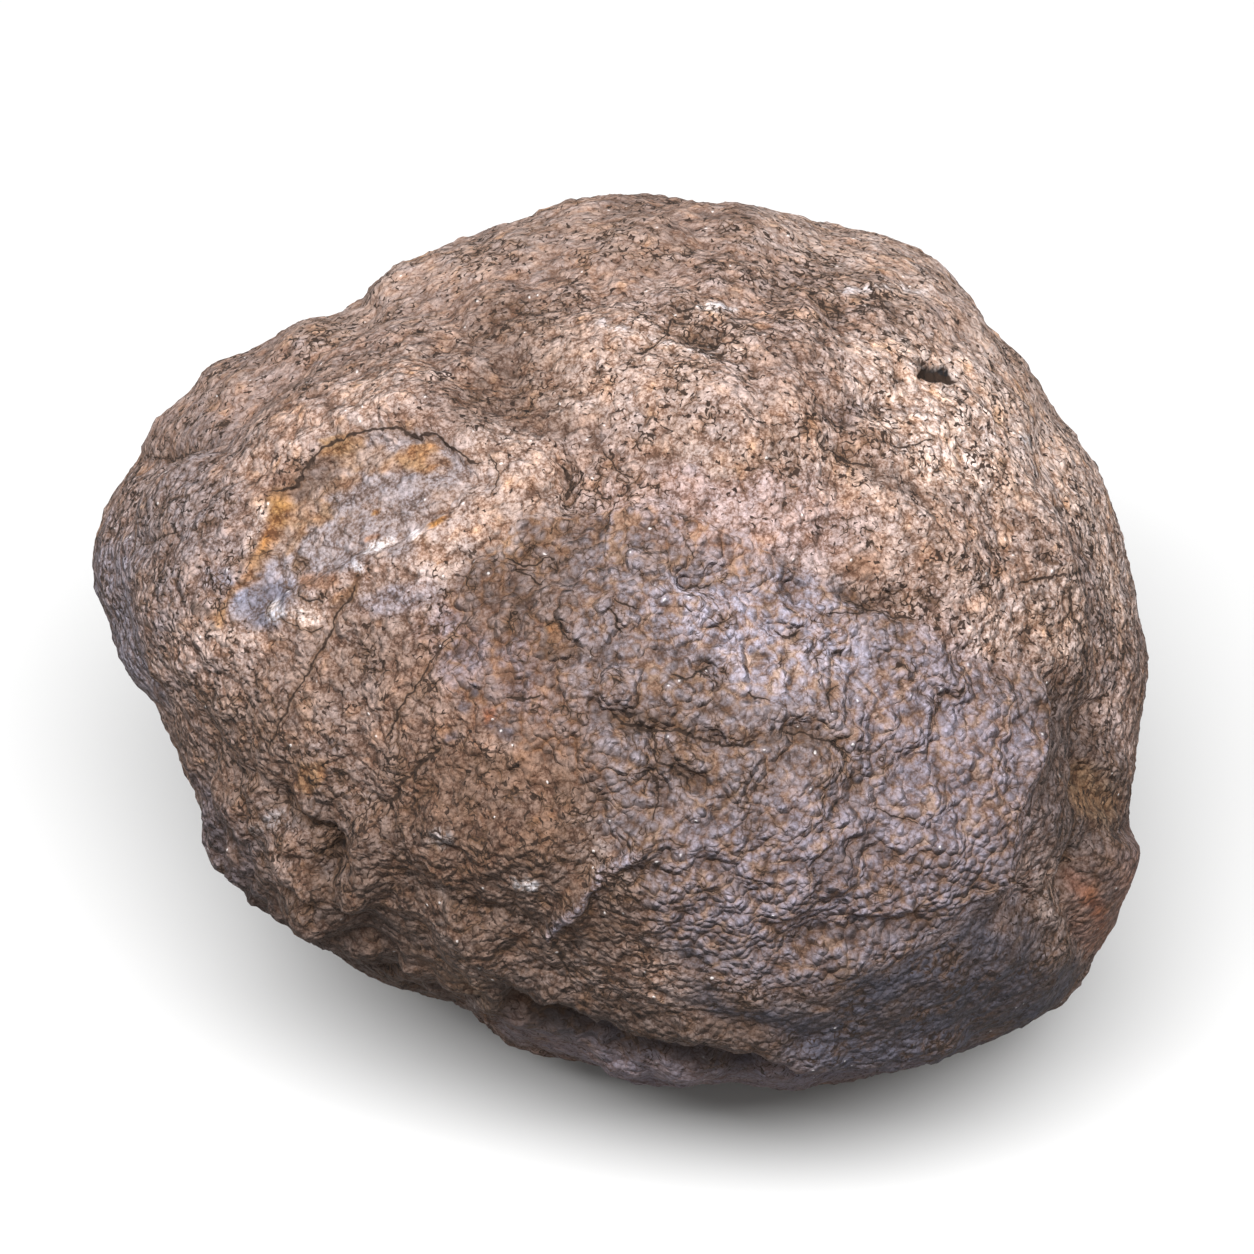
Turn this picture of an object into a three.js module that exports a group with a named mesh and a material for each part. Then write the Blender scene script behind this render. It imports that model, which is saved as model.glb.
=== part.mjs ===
// A whole, uncut geode: one hard brown and grey nodule the size of a small melon, lying on a small flat spot.
// Millimetres, +Z up, origin on the resting plane under the middle of the nodule, -Y towards the showing side.
import * as THREE from "three";
import { mergeVertices } from "three/addons/utils/BufferGeometryUtils.js";

// Driving dimensions
const LEAN_BACK = 40; // degrees that the showing side looks up from level
const FRONT_DEPTH = 60; // from the widest outline out to the middle of the showing side
const BACK_DEPTH = 60; // the same to the hidden side
const OUTLINE_SLANT = 0.16; // how far the top of the widest outline falls back, per millimetre of height
const BOXINESS = 2.3; // 2 is a plain ellipsoid, more has fuller shoulders
const EYE_DISTANCE = 750; // the showing side is laid out as seen from this far out
const RIM_WIDTH = 0.3; // how far round from the widest outline its bumps run, as a share of the depth
const QUIET_RIM = 0.22; // how near to the widest outline the other lumps die down, as a share of the depth
const FLAT_SPOT_DEPTH = 3.2; // how much of the belly is worn flat, which sets the size of the flat spot
const FACET_STEPS = 21; // divisions along each edge of the starting icosahedron, less one
const FRONT_DETAIL = 0.76; // under 1 packs the facets closer on the showing side
const ROCK_COLOUR = 0xa38b7d;
const ROCK_ROUGHNESS = 0.88;

// Widest outline of the nodule as [across, up], clockwise from the left tip
const OUTLINE = [
  [-75, 11], [-74.5, 14.5], [-72.5, 20], [-69, 26], [-68, 28.5], [-65, 33], [-61, 35.5], [-59, 39],
  [-54.5, 41.3], [-52, 41.5], [-47.5, 45], [-44.5, 46.5], [-41, 46.6], [-37, 49], [-35.5, 51], [-31, 54.3],
  [-20, 57], [-13, 59.8], [-7, 62.8], [5.5, 63.6], [20, 62.4], [30, 60], [40, 57.7], [46, 54],
  [50, 49.3], [53, 44.5], [56, 42], [59.5, 37.5], [67, 26.5], [71.7, 13], [73.3, 4.7], [75, -2],
  [73, -14], [72.2, -25], [73.3, -27.7], [72.7, -34], [66, -46], [62, -51], [54.5, -55.5], [44, -59.5],
  [30, -61.8], [25.5, -63.6], [13, -62], [6, -62.5], [-5, -58.7], [-20, -52.2], [-33.5, -48.2], [-43, -42.5],
  [-53, -36.3], [-57.5, -31.3], [-59.8, -20.6], [-62, -15.5], [-65.5, -9], [-70, -5], [-72, 0], [-74, 6.5],
];

// Relief of the showing side, in [across, up]. A line stands "height" above its surroundings, or below them if
// that is negative, and fades out over "width".
const LINES = [
  { name: "groove behind the left shoulder", width: 6, height: -1.9,
    path: [[-68, 26], [-58, 30.5], [-53, 36], [-44, 42], [-36, 48]] },
  { name: "valley between the two crowns", width: 14, height: -1.8,
    path: [[-27, 45], [-14, 39], [-7, 30.5], [-7, 20]] },
  { name: "left shoulder swell", width: 16, height: 1.6,
    path: [[-58, 20], [-44, 34], [-30, 38]] },
  { name: "right shoulder swell", width: 18, height: 1.2,
    path: [[22, 32], [44, 26], [56, 12]] },
  { name: "edge of the grey face", width: 9, height: 1.6,
    path: [[58, -1], [60, -7], [58.5, -14], [55, -24], [49, -33]] },
  { name: "turn below the grey face", width: 11, height: -1.6,
    path: [[66, -6], [65, -16], [61, -27], [55, -36], [46, -43.5], [34, -48]] },
  { name: "dent in the middle of the grey face", width: 9, height: -1.4,
    path: [[0, -9], [6, -12], [11, -17]] },
  { name: "long dent across the grey face", width: 8, height: -1,
    path: [[13, -13], [23, -11], [33, -14]] },
  { name: "dent low on the grey face", width: 8, height: -1,
    path: [[27, -29.5], [35, -29], [41, -32.5]] },
  { name: "flank crease", width: 6, height: -1.6,
    path: [[68.5, -5], [68, -16], [66.5, -26], [65.5, -34]] },
  { name: "flank pit", width: 8, height: -2.2,
    path: [[69, -22]] },
  { name: "red lobe", width: 11, height: 1.8,
    path: [[68.5, -31], [68.5, -37]] },
  { name: "hollow low on the left", width: 8, height: -3,
    path: [[-43, -26.5], [-39.5, -28.5]] },
  { name: "rib beside the hollow", width: 6, height: 2,
    path: [[-38.5, -30], [-37.5, -35], [-35, -40]] },
  { name: "second rib", width: 7, height: 1.6,
    path: [[-50, -29], [-46, -32], [-44.5, -37]] },
  { name: "vein ridge", width: 5.5, height: 1.2,
    path: [[-9.5, -41], [-9, -38.5], [-6, -36], [-2, -33], [3, -28]] },
  { name: "overhanging lip", width: 7, height: 2.2,
    path: [[-12, -49], [-3, -52.5], [4, -54], [14, -54.5], [24, -54], [36, -53]] },
  { name: "crease under the lip", width: 5.5, height: -3.6,
    path: [[-15, -50.5], [-4, -55.5], [5, -57.5], [12, -57.2], [19, -58.5], [32, -59.5], [43, -58.5]] },
];

// A ledge is a step up on the left of its path, which dies away over "reach"
const LEDGES = [
  { name: "step along the left tip", height: 1.3, reach: 9,
    path: [[-71, 15], [-69, 6], [-68, -1], [-65, -9]] },
  { name: "crust edge over the grey face", height: 1.2, reach: 12,
    path: [
      [60, -3], [49, -1], [40, 4.5], [32, 8.5], [22, 14], [11, 19], [-6, 20.5], [-15, 19],
      [-22, 13], [-27, 1],
    ] },
  { name: "rib over the bare recess", height: 1.8, reach: 7,
    path: [[-15, -48], [-21, -45], [-24.5, -40], [-27, -35], [-33, -28]] },
];

// A field lies "height" above its surroundings, or below them, inside its outline, with edges "width" wide
const FIELDS = [
  { name: "broken patch", height: -2, width: 5,
    outline: [
      [-51, 22], [-44, 26], [-35, 30], [-26, 29.5], [-19, 25.5], [-18, 22], [-25, 15], [-37, 9],
      [-46, 5], [-54, 2.5], [-55.5, 6], [-50, 13],
    ] },
  { name: "bare recess low on the left", height: -1.6, width: 5,
    outline: [[-38, -37], [-31, -34], [-26, -38], [-21, -45], [-16, -50], [-25, -51], [-38, -45]] },
];

// Swells and hollows of the sides that the layout above doesn't reach, each towards a direction [x, y, z]
const HIDDEN_RELIEF = [
  { name: "worn back shoulder", towards: [0.45, 0.85, 0.27], width: 52, height: -4.5 },
  { name: "knob high on the back", towards: [-0.35, 0.8, 0.45], width: 24, height: 1.6 },
  { name: "hollow low on the back", towards: [-0.2, 0.85, -0.5], width: 30, height: -1.6 },
  { name: "back left knob", towards: [-0.8, 0.7, -0.1], width: 26, height: 2.6 },
  { name: "back right hollow", towards: [0.9, 0.6, 0.1], width: 28, height: -2.6 },
  { name: "low back right knob", towards: [0.6, 0.8, -0.6], width: 26, height: 2.6 },
  { name: "low right hollow", towards: [0.85, 0.1, -0.65], width: 24, height: -2 },
  { name: "belly hollow on the left", towards: [-0.7, 0.1, -0.8], width: 26, height: -2 },
  { name: "belly knob at the front", towards: [-0.2, -0.6, -0.8], width: 20, height: 1.5 },
  { name: "foot of the nodule", towards: [-0.04, 0.14, -1], width: 60, height: 4 },
];

// Lumpiness of the whole rind, from wide lumps to small ones, with creases where the lumps meet
const LUMPS = [
  { size: 34, height: 2.2 },
  { size: 17, height: 1.5 },
  { size: 9, height: 0.9 },
];
const LEDGE_RISE = 2.5; // how wide a ledge's step is
const WANDER = { size: 11, reach: 1.6 }; // how far the laid-out lines stray from side to side, and how often

// The layout axes of the showing side in the part's own frame
const lean = THREE.MathUtils.degToRad(LEAN_BACK);
const ACROSS = new THREE.Vector3(1, 0, 0);
const UP = new THREE.Vector3(0, Math.sin(lean), Math.cos(lean));
const OUT = new THREE.Vector3(0, -Math.cos(lean), Math.sin(lean));

const smooth = (edgeLow, edgeHigh, value) => THREE.MathUtils.smoothstep(value, edgeLow, edgeHigh);
const bell = (distance, width) => Math.exp(-4 * (distance / width) ** 2);

// Smooth noise from -1 to 1 on a lattice of fixed pseudo-random values
function latticeValue(x, y, z) {
  const value = Math.sin(x * 127.1 + y * 311.7 + z * 74.7) * 43758.5453;
  return 2 * (value - Math.floor(value)) - 1;
}

function noise(x, y, z) {
  const [cellX, cellY, cellZ] = [Math.floor(x), Math.floor(y), Math.floor(z)];
  const [u, v, w] = [x - cellX, y - cellY, z - cellZ].map((t) => t * t * (3 - 2 * t));
  let total = 0;
  for (const i of [0, 1]) {
    for (const j of [0, 1]) {
      for (const k of [0, 1]) {
        const weight = (i ? u : 1 - u) * (j ? v : 1 - v) * (k ? w : 1 - w);
        total += weight * latticeValue(cellX + i, cellY + j, cellZ + k);
      }
    }
  }
  return total;
}

// Rounded lumps with creases between them, turned so that the noise's lattice doesn't line up with the axes
function lumps({ x, y, z }) {
  let height = 0;
  for (const { size, height: most } of LUMPS) {
    const [turnedX, turnedY, turnedZ] = [0.8 * x + 0.6 * y, 0.8 * y - 0.6 * x + 0.3 * z, z - 0.3 * y];
    const value = noise(turnedX / size, turnedY / size, turnedZ / size + size);
    height += most * (2 * Math.abs(value) - 0.6);
  }
  return height;
}

// The outline as a smooth closed curve, and the same curve evened out over EVENING_STEPS each way, both kept
// as radii at equal steps of angle
const ANGLE_STEPS = 720;
const EVENING_STEPS = 36;
const outlineCurve = new THREE.CatmullRomCurve3(
  OUTLINE.map(([across, up]) => new THREE.Vector3(across, up, 0)), true, "centripetal");
const outlinePolar = outlineCurve
  .getPoints(2 * ANGLE_STEPS)
  .map((point) => [Math.atan2(point.y, point.x), Math.hypot(point.x, point.y)])
  .sort((a, b) => a[0] - b[0]);
const outlineRadii = Array.from({ length: ANGLE_STEPS }, (_, step) => {
  const angle = (step / ANGLE_STEPS - 0.5) * 2 * Math.PI;
  const after = outlinePolar.findIndex((pair) => pair[0] > angle);
  if (after < 1) return outlinePolar[0][1];
  const [[angleBefore, radiusBefore], [angleAfter, radiusAfter]] = outlinePolar.slice(after - 1, after + 1);
  return THREE.MathUtils.mapLinear(angle, angleBefore, angleAfter, radiusBefore, radiusAfter);
});
const evenRadii = outlineRadii.map((_, step) => {
  let total = 0;
  for (let i = -EVENING_STEPS; i <= EVENING_STEPS; i++) {
    total += outlineRadii[(step + i + ANGLE_STEPS) % ANGLE_STEPS];
  }
  return total / (2 * EVENING_STEPS + 1);
});

function radiusAt(radii, angle) {
  const place = (angle / (2 * Math.PI) + 0.5) * ANGLE_STEPS;
  const step = Math.floor(place);
  const before = radii[(step + ANGLE_STEPS) % ANGLE_STEPS];
  const after = radii[(step + 1 + ANGLE_STEPS) % ANGLE_STEPS];
  return THREE.MathUtils.lerp(before, after, place - step);
}

// Distance from a point to a path, the side of the path that it lies on (left is positive) and how far along
// the path it is, from 0 to 1
function nearestOnPath(x, y, path) {
  let found = { distance: Infinity, side: 0, along: 0.5 };
  if (path.length === 1) return { ...found, distance: Math.hypot(x - path[0][0], y - path[0][1]) };
  for (let i = 0; i + 1 < path.length; i++) {
    const [ax, ay] = path[i];
    const [bx, by] = path[i + 1];
    const [dx, dy] = [bx - ax, by - ay];
    const share = THREE.MathUtils.clamp(((x - ax) * dx + (y - ay) * dy) / (dx * dx + dy * dy), 0, 1);
    const distance = Math.hypot(x - ax - share * dx, y - ay - share * dy);
    if (distance < found.distance) {
      const side = Math.sign(dx * (y - ay) - dy * (x - ax));
      found = { distance, side, along: (i + share) / (path.length - 1) };
    }
  }
  return found;
}

// Distance inside a closed outline, negative outside it
function depthInside(x, y, outline) {
  let inside = false;
  for (let i = 0, j = outline.length - 1; i < outline.length; j = i++) {
    const [ax, ay] = outline[i];
    const [bx, by] = outline[j];
    if (ay > y !== by > y && x < ((bx - ax) * (y - ay)) / (by - ay) + ax) inside = !inside;
  }
  const { distance } = nearestOnPath(x, y, [...outline, outline[0]]);
  return inside ? distance : -distance;
}

// Height that the laid-out relief adds at a point of the showing side
function showingRelief(seenX, seenY) {
  const x = seenX + WANDER.reach * noise(seenX / WANDER.size, seenY / WANDER.size, 0.5);
  const y = seenY + WANDER.reach * noise(seenX / WANDER.size, seenY / WANDER.size, 7.5);
  let height = 0;
  for (const line of LINES) {
    height += line.height * bell(nearestOnPath(x, y, line.path).distance, line.width);
  }
  for (const ledge of LEDGES) {
    const { distance, side, along } = nearestOnPath(x, y, ledge.path);
    const ends = smooth(0, 0.15, along) * smooth(0, 0.15, 1 - along);
    const kept = smooth(0, LEDGE_RISE, distance) * Math.exp(-distance / ledge.reach);
    if (side > 0) height += ledge.height * ends * kept;
  }
  for (const field of FIELDS) {
    height += field.height * smooth(-field.width / 2, field.width / 2, depthInside(x, y, field.outline));
  }
  return height;
}

function hiddenRelief(point) {
  let height = 0;
  for (const swell of HIDDEN_RELIEF) {
    const centre = new THREE.Vector3(...swell.towards).setLength(point.length());
    height += swell.height * bell(point.distanceTo(centre), swell.width);
  }
  return height;
}

// Moves the directions of an even sphere towards the showing side, where the facets are then smaller
function crowdForward(direction) {
  const out = direction.dot(OUT);
  const flat = direction.clone().addScaledVector(OUT, -out);
  if (flat.length() < 1e-9) return direction.clone();
  const turned = 2 * Math.atan(FRONT_DETAIL * Math.tan(Math.acos(THREE.MathUtils.clamp(out, -1, 1)) / 2));
  return flat.setLength(Math.sin(turned)).addScaledVector(OUT, Math.cos(turned));
}

// The point of the nodule's surface in a direction from its middle
function surfacePoint(direction) {
  const out = direction.dot(OUT);
  const across = direction.dot(ACROSS);
  const up = direction.dot(UP);
  const side = Math.max(Math.hypot(across, up), 1e-9);
  const angle = Math.atan2(up, across);
  const rim = Math.exp(-((out / RIM_WIDTH) ** 2));
  const evenRadius = radiusAt(evenRadii, angle);
  const fullRadius = evenRadius + rim * (radiusAt(outlineRadii, angle) - evenRadius);
  const reach = (side ** BOXINESS + Math.abs(out) ** BOXINESS) ** (-1 / BOXINESS);
  const seenX = reach * fullRadius * across;
  const seenY = reach * fullRadius * up;
  const depth = reach * out * (out > 0 ? FRONT_DEPTH : BACK_DEPTH) - OUTLINE_SLANT * seenY;
  const nearer = 1 - depth / EYE_DISTANCE;
  const point = new THREE.Vector3()
    .addScaledVector(ACROSS, seenX * nearer)
    .addScaledVector(UP, seenY * nearer)
    .addScaledVector(OUT, depth);
  const showing = smooth(-0.02, 0.2, out);
  const rough = 1 - 0.85 * Math.exp(-((out / QUIET_RIM) ** 2));
  const behind = rough * (1 - showing) * hiddenRelief(point);
  const raised = showing * showingRelief(seenX, seenY) + behind + rough * lumps(point);
  return point.addScaledVector(point.clone().normalize(), raised);
}

// The closed rind: an even sphere of facets pushed out to the nodule's surface
function nodule() {
  const ball = new THREE.IcosahedronGeometry(1, FACET_STEPS);
  ball.deleteAttribute("normal");
  ball.deleteAttribute("uv");
  const rind = mergeVertices(ball, 1e-5);
  const places = rind.getAttribute("position");
  const direction = new THREE.Vector3();
  for (let i = 0; i < places.count; i++) {
    const point = surfacePoint(crowdForward(direction.fromBufferAttribute(places, i).normalize()));
    places.setXYZ(i, point.x, point.y, point.z);
  }
  return rind;
}

// Sets the nodule down on the plane z = 0, with its lowest part worn flat there and its middle over the origin
function setDown(rind) {
  rind.computeBoundingBox();
  const { min, max } = rind.boundingBox;
  rind.translate(-(min.x + max.x) / 2, -(min.y + max.y) / 2, -min.z - FLAT_SPOT_DEPTH);
  const places = rind.getAttribute("position");
  for (let i = 0; i < places.count; i++) {
    places.setZ(i, Math.max(places.getZ(i), 0));
  }
  rind.computeVertexNormals();
  return rind;
}

const rock = new THREE.MeshStandardMaterial({ color: ROCK_COLOUR, roughness: ROCK_ROUGHNESS, metalness: 0 });
const geode = new THREE.Mesh(setDown(nodule()), rock);
geode.name = "geode";

const part = new THREE.Group();
part.add(geode);

export default part;
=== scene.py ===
# A whole, uncut geode on a plain pale floor: its fine rock surface, its finish, the light and the camera
import bpy
import bmesh
import math
import numpy as np
from functools import partial
from mathutils import Matrix, Vector


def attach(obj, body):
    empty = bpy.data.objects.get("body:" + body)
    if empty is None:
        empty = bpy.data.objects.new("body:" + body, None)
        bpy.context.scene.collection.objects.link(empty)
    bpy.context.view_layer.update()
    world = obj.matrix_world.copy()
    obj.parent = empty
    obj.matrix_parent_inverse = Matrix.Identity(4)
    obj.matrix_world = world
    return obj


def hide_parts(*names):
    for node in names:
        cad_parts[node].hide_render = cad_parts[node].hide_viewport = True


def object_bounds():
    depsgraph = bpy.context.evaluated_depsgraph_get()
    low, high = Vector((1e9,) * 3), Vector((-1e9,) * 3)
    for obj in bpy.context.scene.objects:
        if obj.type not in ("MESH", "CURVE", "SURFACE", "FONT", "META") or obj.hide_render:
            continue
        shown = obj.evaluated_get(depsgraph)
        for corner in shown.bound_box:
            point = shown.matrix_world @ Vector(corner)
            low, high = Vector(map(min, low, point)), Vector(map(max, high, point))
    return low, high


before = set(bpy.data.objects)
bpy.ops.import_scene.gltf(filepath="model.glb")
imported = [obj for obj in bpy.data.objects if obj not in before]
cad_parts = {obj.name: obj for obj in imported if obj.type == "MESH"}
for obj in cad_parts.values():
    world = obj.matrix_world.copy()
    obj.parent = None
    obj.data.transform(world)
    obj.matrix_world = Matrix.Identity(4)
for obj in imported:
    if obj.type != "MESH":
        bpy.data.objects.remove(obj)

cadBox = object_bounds()
mm = 0.001


def smoothStep(low, high, value):
    share = np.clip((value - low) / (high - low), 0, 1)
    return share * share * (3 - 2 * share)


def bell(distance, width):
    return np.exp(-4 * (distance / width) ** 2)


def latticeValue(x, y, z):
    value = np.sin(x * 127.1 + y * 311.7 + z * 74.7) * 43758.5453  # any large, odd numbers do
    return 2 * (value - np.floor(value)) - 1


# Smooth noise from -1 to 1, with its lumps one unit across
def smoothNoise(x, y, z):
    z = z + 0 * x
    corners = [np.floor(t) for t in (x, y, z)]
    shares = [(t - corner) ** 2 * (3 - 2 * (t - corner)) for t, corner in zip((x, y, z), corners)]
    total = np.zeros_like(x)
    for i in (0, 1):
        for j in (0, 1):
            for k in (0, 1):
                weight = 1.0
                for far, share in zip((i, j, k), shares):
                    weight = weight * (share if far else 1 - share)
                total += weight * latticeValue(corners[0] + i, corners[1] + j, corners[2] + k)
    return total


# The same at several sizes, each turned so that the lattice never lines up
def layeredNoise(points, size, layers, seed):
    total, weight, scale = 0, 1, 1 / size
    x, y, z = points.T
    for layer in range(layers):
        total = total + weight * smoothNoise(x * scale + seed, y * scale - seed, z * scale + 2 * seed)
        x, y, z = 0.8 * x + 0.6 * y, 0.48 * x - 0.64 * y + 0.6 * z, 0.36 * x - 0.48 * y - 0.8 * z
        weight, scale = weight * 0.55, scale * 2.03
    return total


# A way to push each point in three directions at once
def noiseSteps(points, size, layers, seeds):
    return np.column_stack([layeredNoise(points, size, layers, seed) for seed in seeds])


# Distances to the nearest and the second nearest of spots strewn one to a cell
def cellNoise(points, size, seed):
    places = points / size + seed
    base = np.floor(places)
    first = np.full(len(points), 9.0)
    second = np.full(len(points), 9.0)
    for i in (-1, 0, 1):
        for j in (-1, 0, 1):
            for k in (-1, 0, 1):
                cell = base + (i, j, k)
                spot = np.stack([cell[:, axis] + 0.5 + 0.42 * latticeValue(
                    cell[:, 0] + 17 * axis, cell[:, 1], cell[:, 2]) for axis in range(3)], axis=1)
                distance = np.linalg.norm(places - spot, axis=1)
                second = np.minimum(second, np.maximum(distance, first))
                first = np.minimum(first, distance)
    return first, second


# Distance to a path, the side of it (left is positive) and how far along it, from 0 to 1
def nearestOnPath(x, y, path):
    path = np.array(path, float)
    found = np.full(len(x), np.inf)
    side = np.zeros(len(x))
    along = np.zeros(len(x))
    for i, (start, end) in enumerate(zip(path[:-1], path[1:])):
        step = end - start
        share = np.clip(((x - start[0]) * step[0] + (y - start[1]) * step[1]) / (step @ step), 0, 1)
        distance = np.hypot(x - start[0] - share * step[0], y - start[1] - share * step[1])
        nearer = distance < found
        found = np.where(nearer, distance, found)
        side = np.where(nearer, np.sign(step[0] * (y - start[1]) - step[1] * (x - start[0])), side)
        along = np.where(nearer, (i + share) / (len(path) - 1), along)
    return found, side, along


# Distance inside a closed outline, negative outside it
def depthInside(x, y, outline):
    inside = np.zeros(len(x), bool)
    for (ax, ay), (bx, by) in zip(outline, outline[1:] + outline[:1]):
        if ay != by:
            inside ^= ((ay > y) != (by > y)) & (x < (bx - ax) * (y - ay) / (by - ay) + ax)
    distance = nearestOnPath(x, y, outline + outline[:1])[0]
    return np.where(inside, distance, -distance)


# Squared distance from the middle of a turned oval, 1 at its edge
def ovalDistance(x, y, halfLength, halfWidth, turn):
    turn = math.radians(turn)
    along = x * math.cos(turn) + y * math.sin(turn)
    sideways = y * math.cos(turn) - x * math.sin(turn)
    return (along / halfLength) ** 2 + (sideways / halfWidth) ** 2


# The outline's radius at each angle: as laid out, and evened out
def outlineRadius(angle, outline):
    corners = np.array(outline)
    angles = np.linspace(-math.pi, math.pi, 1440, endpoint=False)
    cornerAngles = np.arctan2(corners[:, 1], corners[:, 0])
    radii = np.interp(angles, cornerAngles, np.hypot(*corners.T), period=2 * math.pi)

    def evened(halfWindow):
        window = np.ones(2 * halfWindow + 1) / (2 * halfWindow + 1)
        return np.convolve(np.concatenate([radii[-halfWindow:], radii, radii[:halfWindow]]), window, "valid")

    return [np.interp(angle, angles, evened(halfWindow), period=2 * math.pi) for halfWindow in (3, 72)]


# An even sphere of square faces, as unit directions across, up and out, closer together in front
def evenSphere(cuts, frontDetail):
    ball = bmesh.new()
    bmesh.ops.create_cube(ball, size=2)
    bmesh.ops.subdivide_edges(ball, edges=ball.edges[:], cuts=cuts, use_grid_fill=True)
    mesh = bpy.data.meshes.new("geodeRind")
    ball.to_mesh(mesh)
    ball.free()
    places = np.empty(len(mesh.vertices) * 3)
    mesh.vertices.foreach_get("co", places)
    places = np.tan(places.reshape(-1, 3) * math.pi / 4)
    places /= np.linalg.norm(places, axis=1)[:, None]
    turned = 2 * np.arctan(frontDetail * np.tan(np.arccos(np.clip(places[:, 2], -1, 1)) / 2))
    flat = places[:, :2] / np.maximum(np.hypot(places[:, 0], places[:, 1]), 1e-9)[:, None]
    return mesh, np.column_stack([flat * np.sin(turned)[:, None], np.cos(turned)])


def placed(name, data):
    thing = bpy.data.objects.new(name, data)
    bpy.context.scene.collection.objects.link(thing)
    return thing


def setPlaces(mesh, places):
    mesh.vertices.foreach_set("co", places.ravel())
    mesh.update()


def vertexNormals(mesh):
    normals = np.empty(len(mesh.vertices) * 3, np.float32)
    mesh.vertex_normals.foreach_get("vector", normals)
    return normals.reshape(-1, 3)


# The nodule's form, in millimetres, laid out on its showing side as [across, up]
noduleForm = {
    "leanBack": 40.0,  # degrees that the showing side looks up from level
    "frontDepth": 60.0,
    "backDepth": 60.0,
    "outlineSlant": 0.16,  # how far the top of the outline falls back, per millimetre of height
    "boxiness": 2.3,
    "eyeDistance": 750.0,
    "rimWidth": 0.3,  # how far round from the outline its bumps run
    "quietRim": 0.22,  # how near to the outline the other lumps die down
    "rimCalm": 0.85,  # and by how much
    "middle": (-0.145, -1.572, 61.192),  # the layout's middle, over the floor
    "cutsPerEdge": 127,
    "frontDetail": 0.55,  # under 1 packs the faces closer on the showing side
    "lumps": ((34, 2.2), (17, 1.3), (9, 0.6)),  # size across and height
    "rag": ((0.7, 3.2, 0.5, 7.5), (0.35, 1.3, 4.5, 9.5)),  # how far the lines stray, over what size, seeds
    "outline": (
        (-75, 10.7), (-74.7, 14.2), (-72.7, 19.9), (-70.2, 24), (-68.5, 26.6), (-68.2, 28.3), (-65, 32.8),
        (-60.9, 35.5), (-59.1, 39.1), (-54.7, 41.2), (-52.1, 41.5), (-47.6, 44.9), (-45, 46.4), (-41, 46.6),
        (-36.9, 48.9), (-35.5, 51), (-31.1, 54.3), (-25.7, 55.9), (-19.7, 57.2), (-12.9, 59.7), (-6.9, 62.8),
        (-2.9, 63.3), (5.6, 63.6), (13.4, 62.8), (19.8, 62.4), (25.5, 61.4), (30.5, 59.9), (35.2, 59),
        (39.7, 57.7), (46.1, 54), (50, 49.3), (52.8, 44.5), (56.1, 41.9), (59.6, 37.4), (63.2, 32),
        (67, 26.4), (69.3, 21), (71.7, 13.1), (73.3, 4.7), (75, -2.1), (74.6, -6.4), (73, -14.2), (72.2, -22),
        (72.2, -25.5), (73.3, -27.7), (72.7, -34.1), (69.9, -40.8), (66, -46.2), (61.9, -51.2), (54.7, -55.3),
        (44, -59.6), (35.5, -61.3), (29.8, -61.8), (25.5, -63.6), (19.8, -62.8), (13, -62), (8.5, -62.7),
        (2.8, -62), (-5, -58.7), (-12.9, -55.9), (-20, -52.2), (-25, -50.5), (-33.5, -48.2), (-42.7, -42.7),
        (-52.7, -36.4), (-57.5, -31.3), (-58.8, -25.6), (-59.8, -20.6), (-62.1, -15.6), (-65.2, -9),
        (-69.7, -5), (-71.7, -1), (-72.6, 3.6), (-74.4, 7.5),
    ),
}

# Swells and hollows of the hidden sides: direction from the middle, width, height
hiddenSwells = {
    "worn back shoulder": ((0.45, 0.85, 0.27), 52, -4.5),
    "knob high on the back": ((-0.35, 0.8, 0.45), 24, 1.6),
    "hollow low on the back": ((-0.2, 0.85, -0.5), 30, -1.6),
    "back left knob": ((-0.8, 0.7, -0.1), 26, 2.6),
    "back right hollow": ((0.9, 0.6, 0.1), 28, -2.6),
    "low back right knob": ((0.6, 0.8, -0.6), 26, 2.6),
    "low right hollow": ((0.85, 0.1, -0.65), 24, -2),
    "belly hollow on the left": ((-0.7, 0.1, -0.8), 26, -2),
    "belly knob at the front": ((-0.2, -0.6, -0.8), 20, 1.5),
    "foot of the nodule": ((-0.04, 0.14, -1), 60, 4),
}

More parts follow.
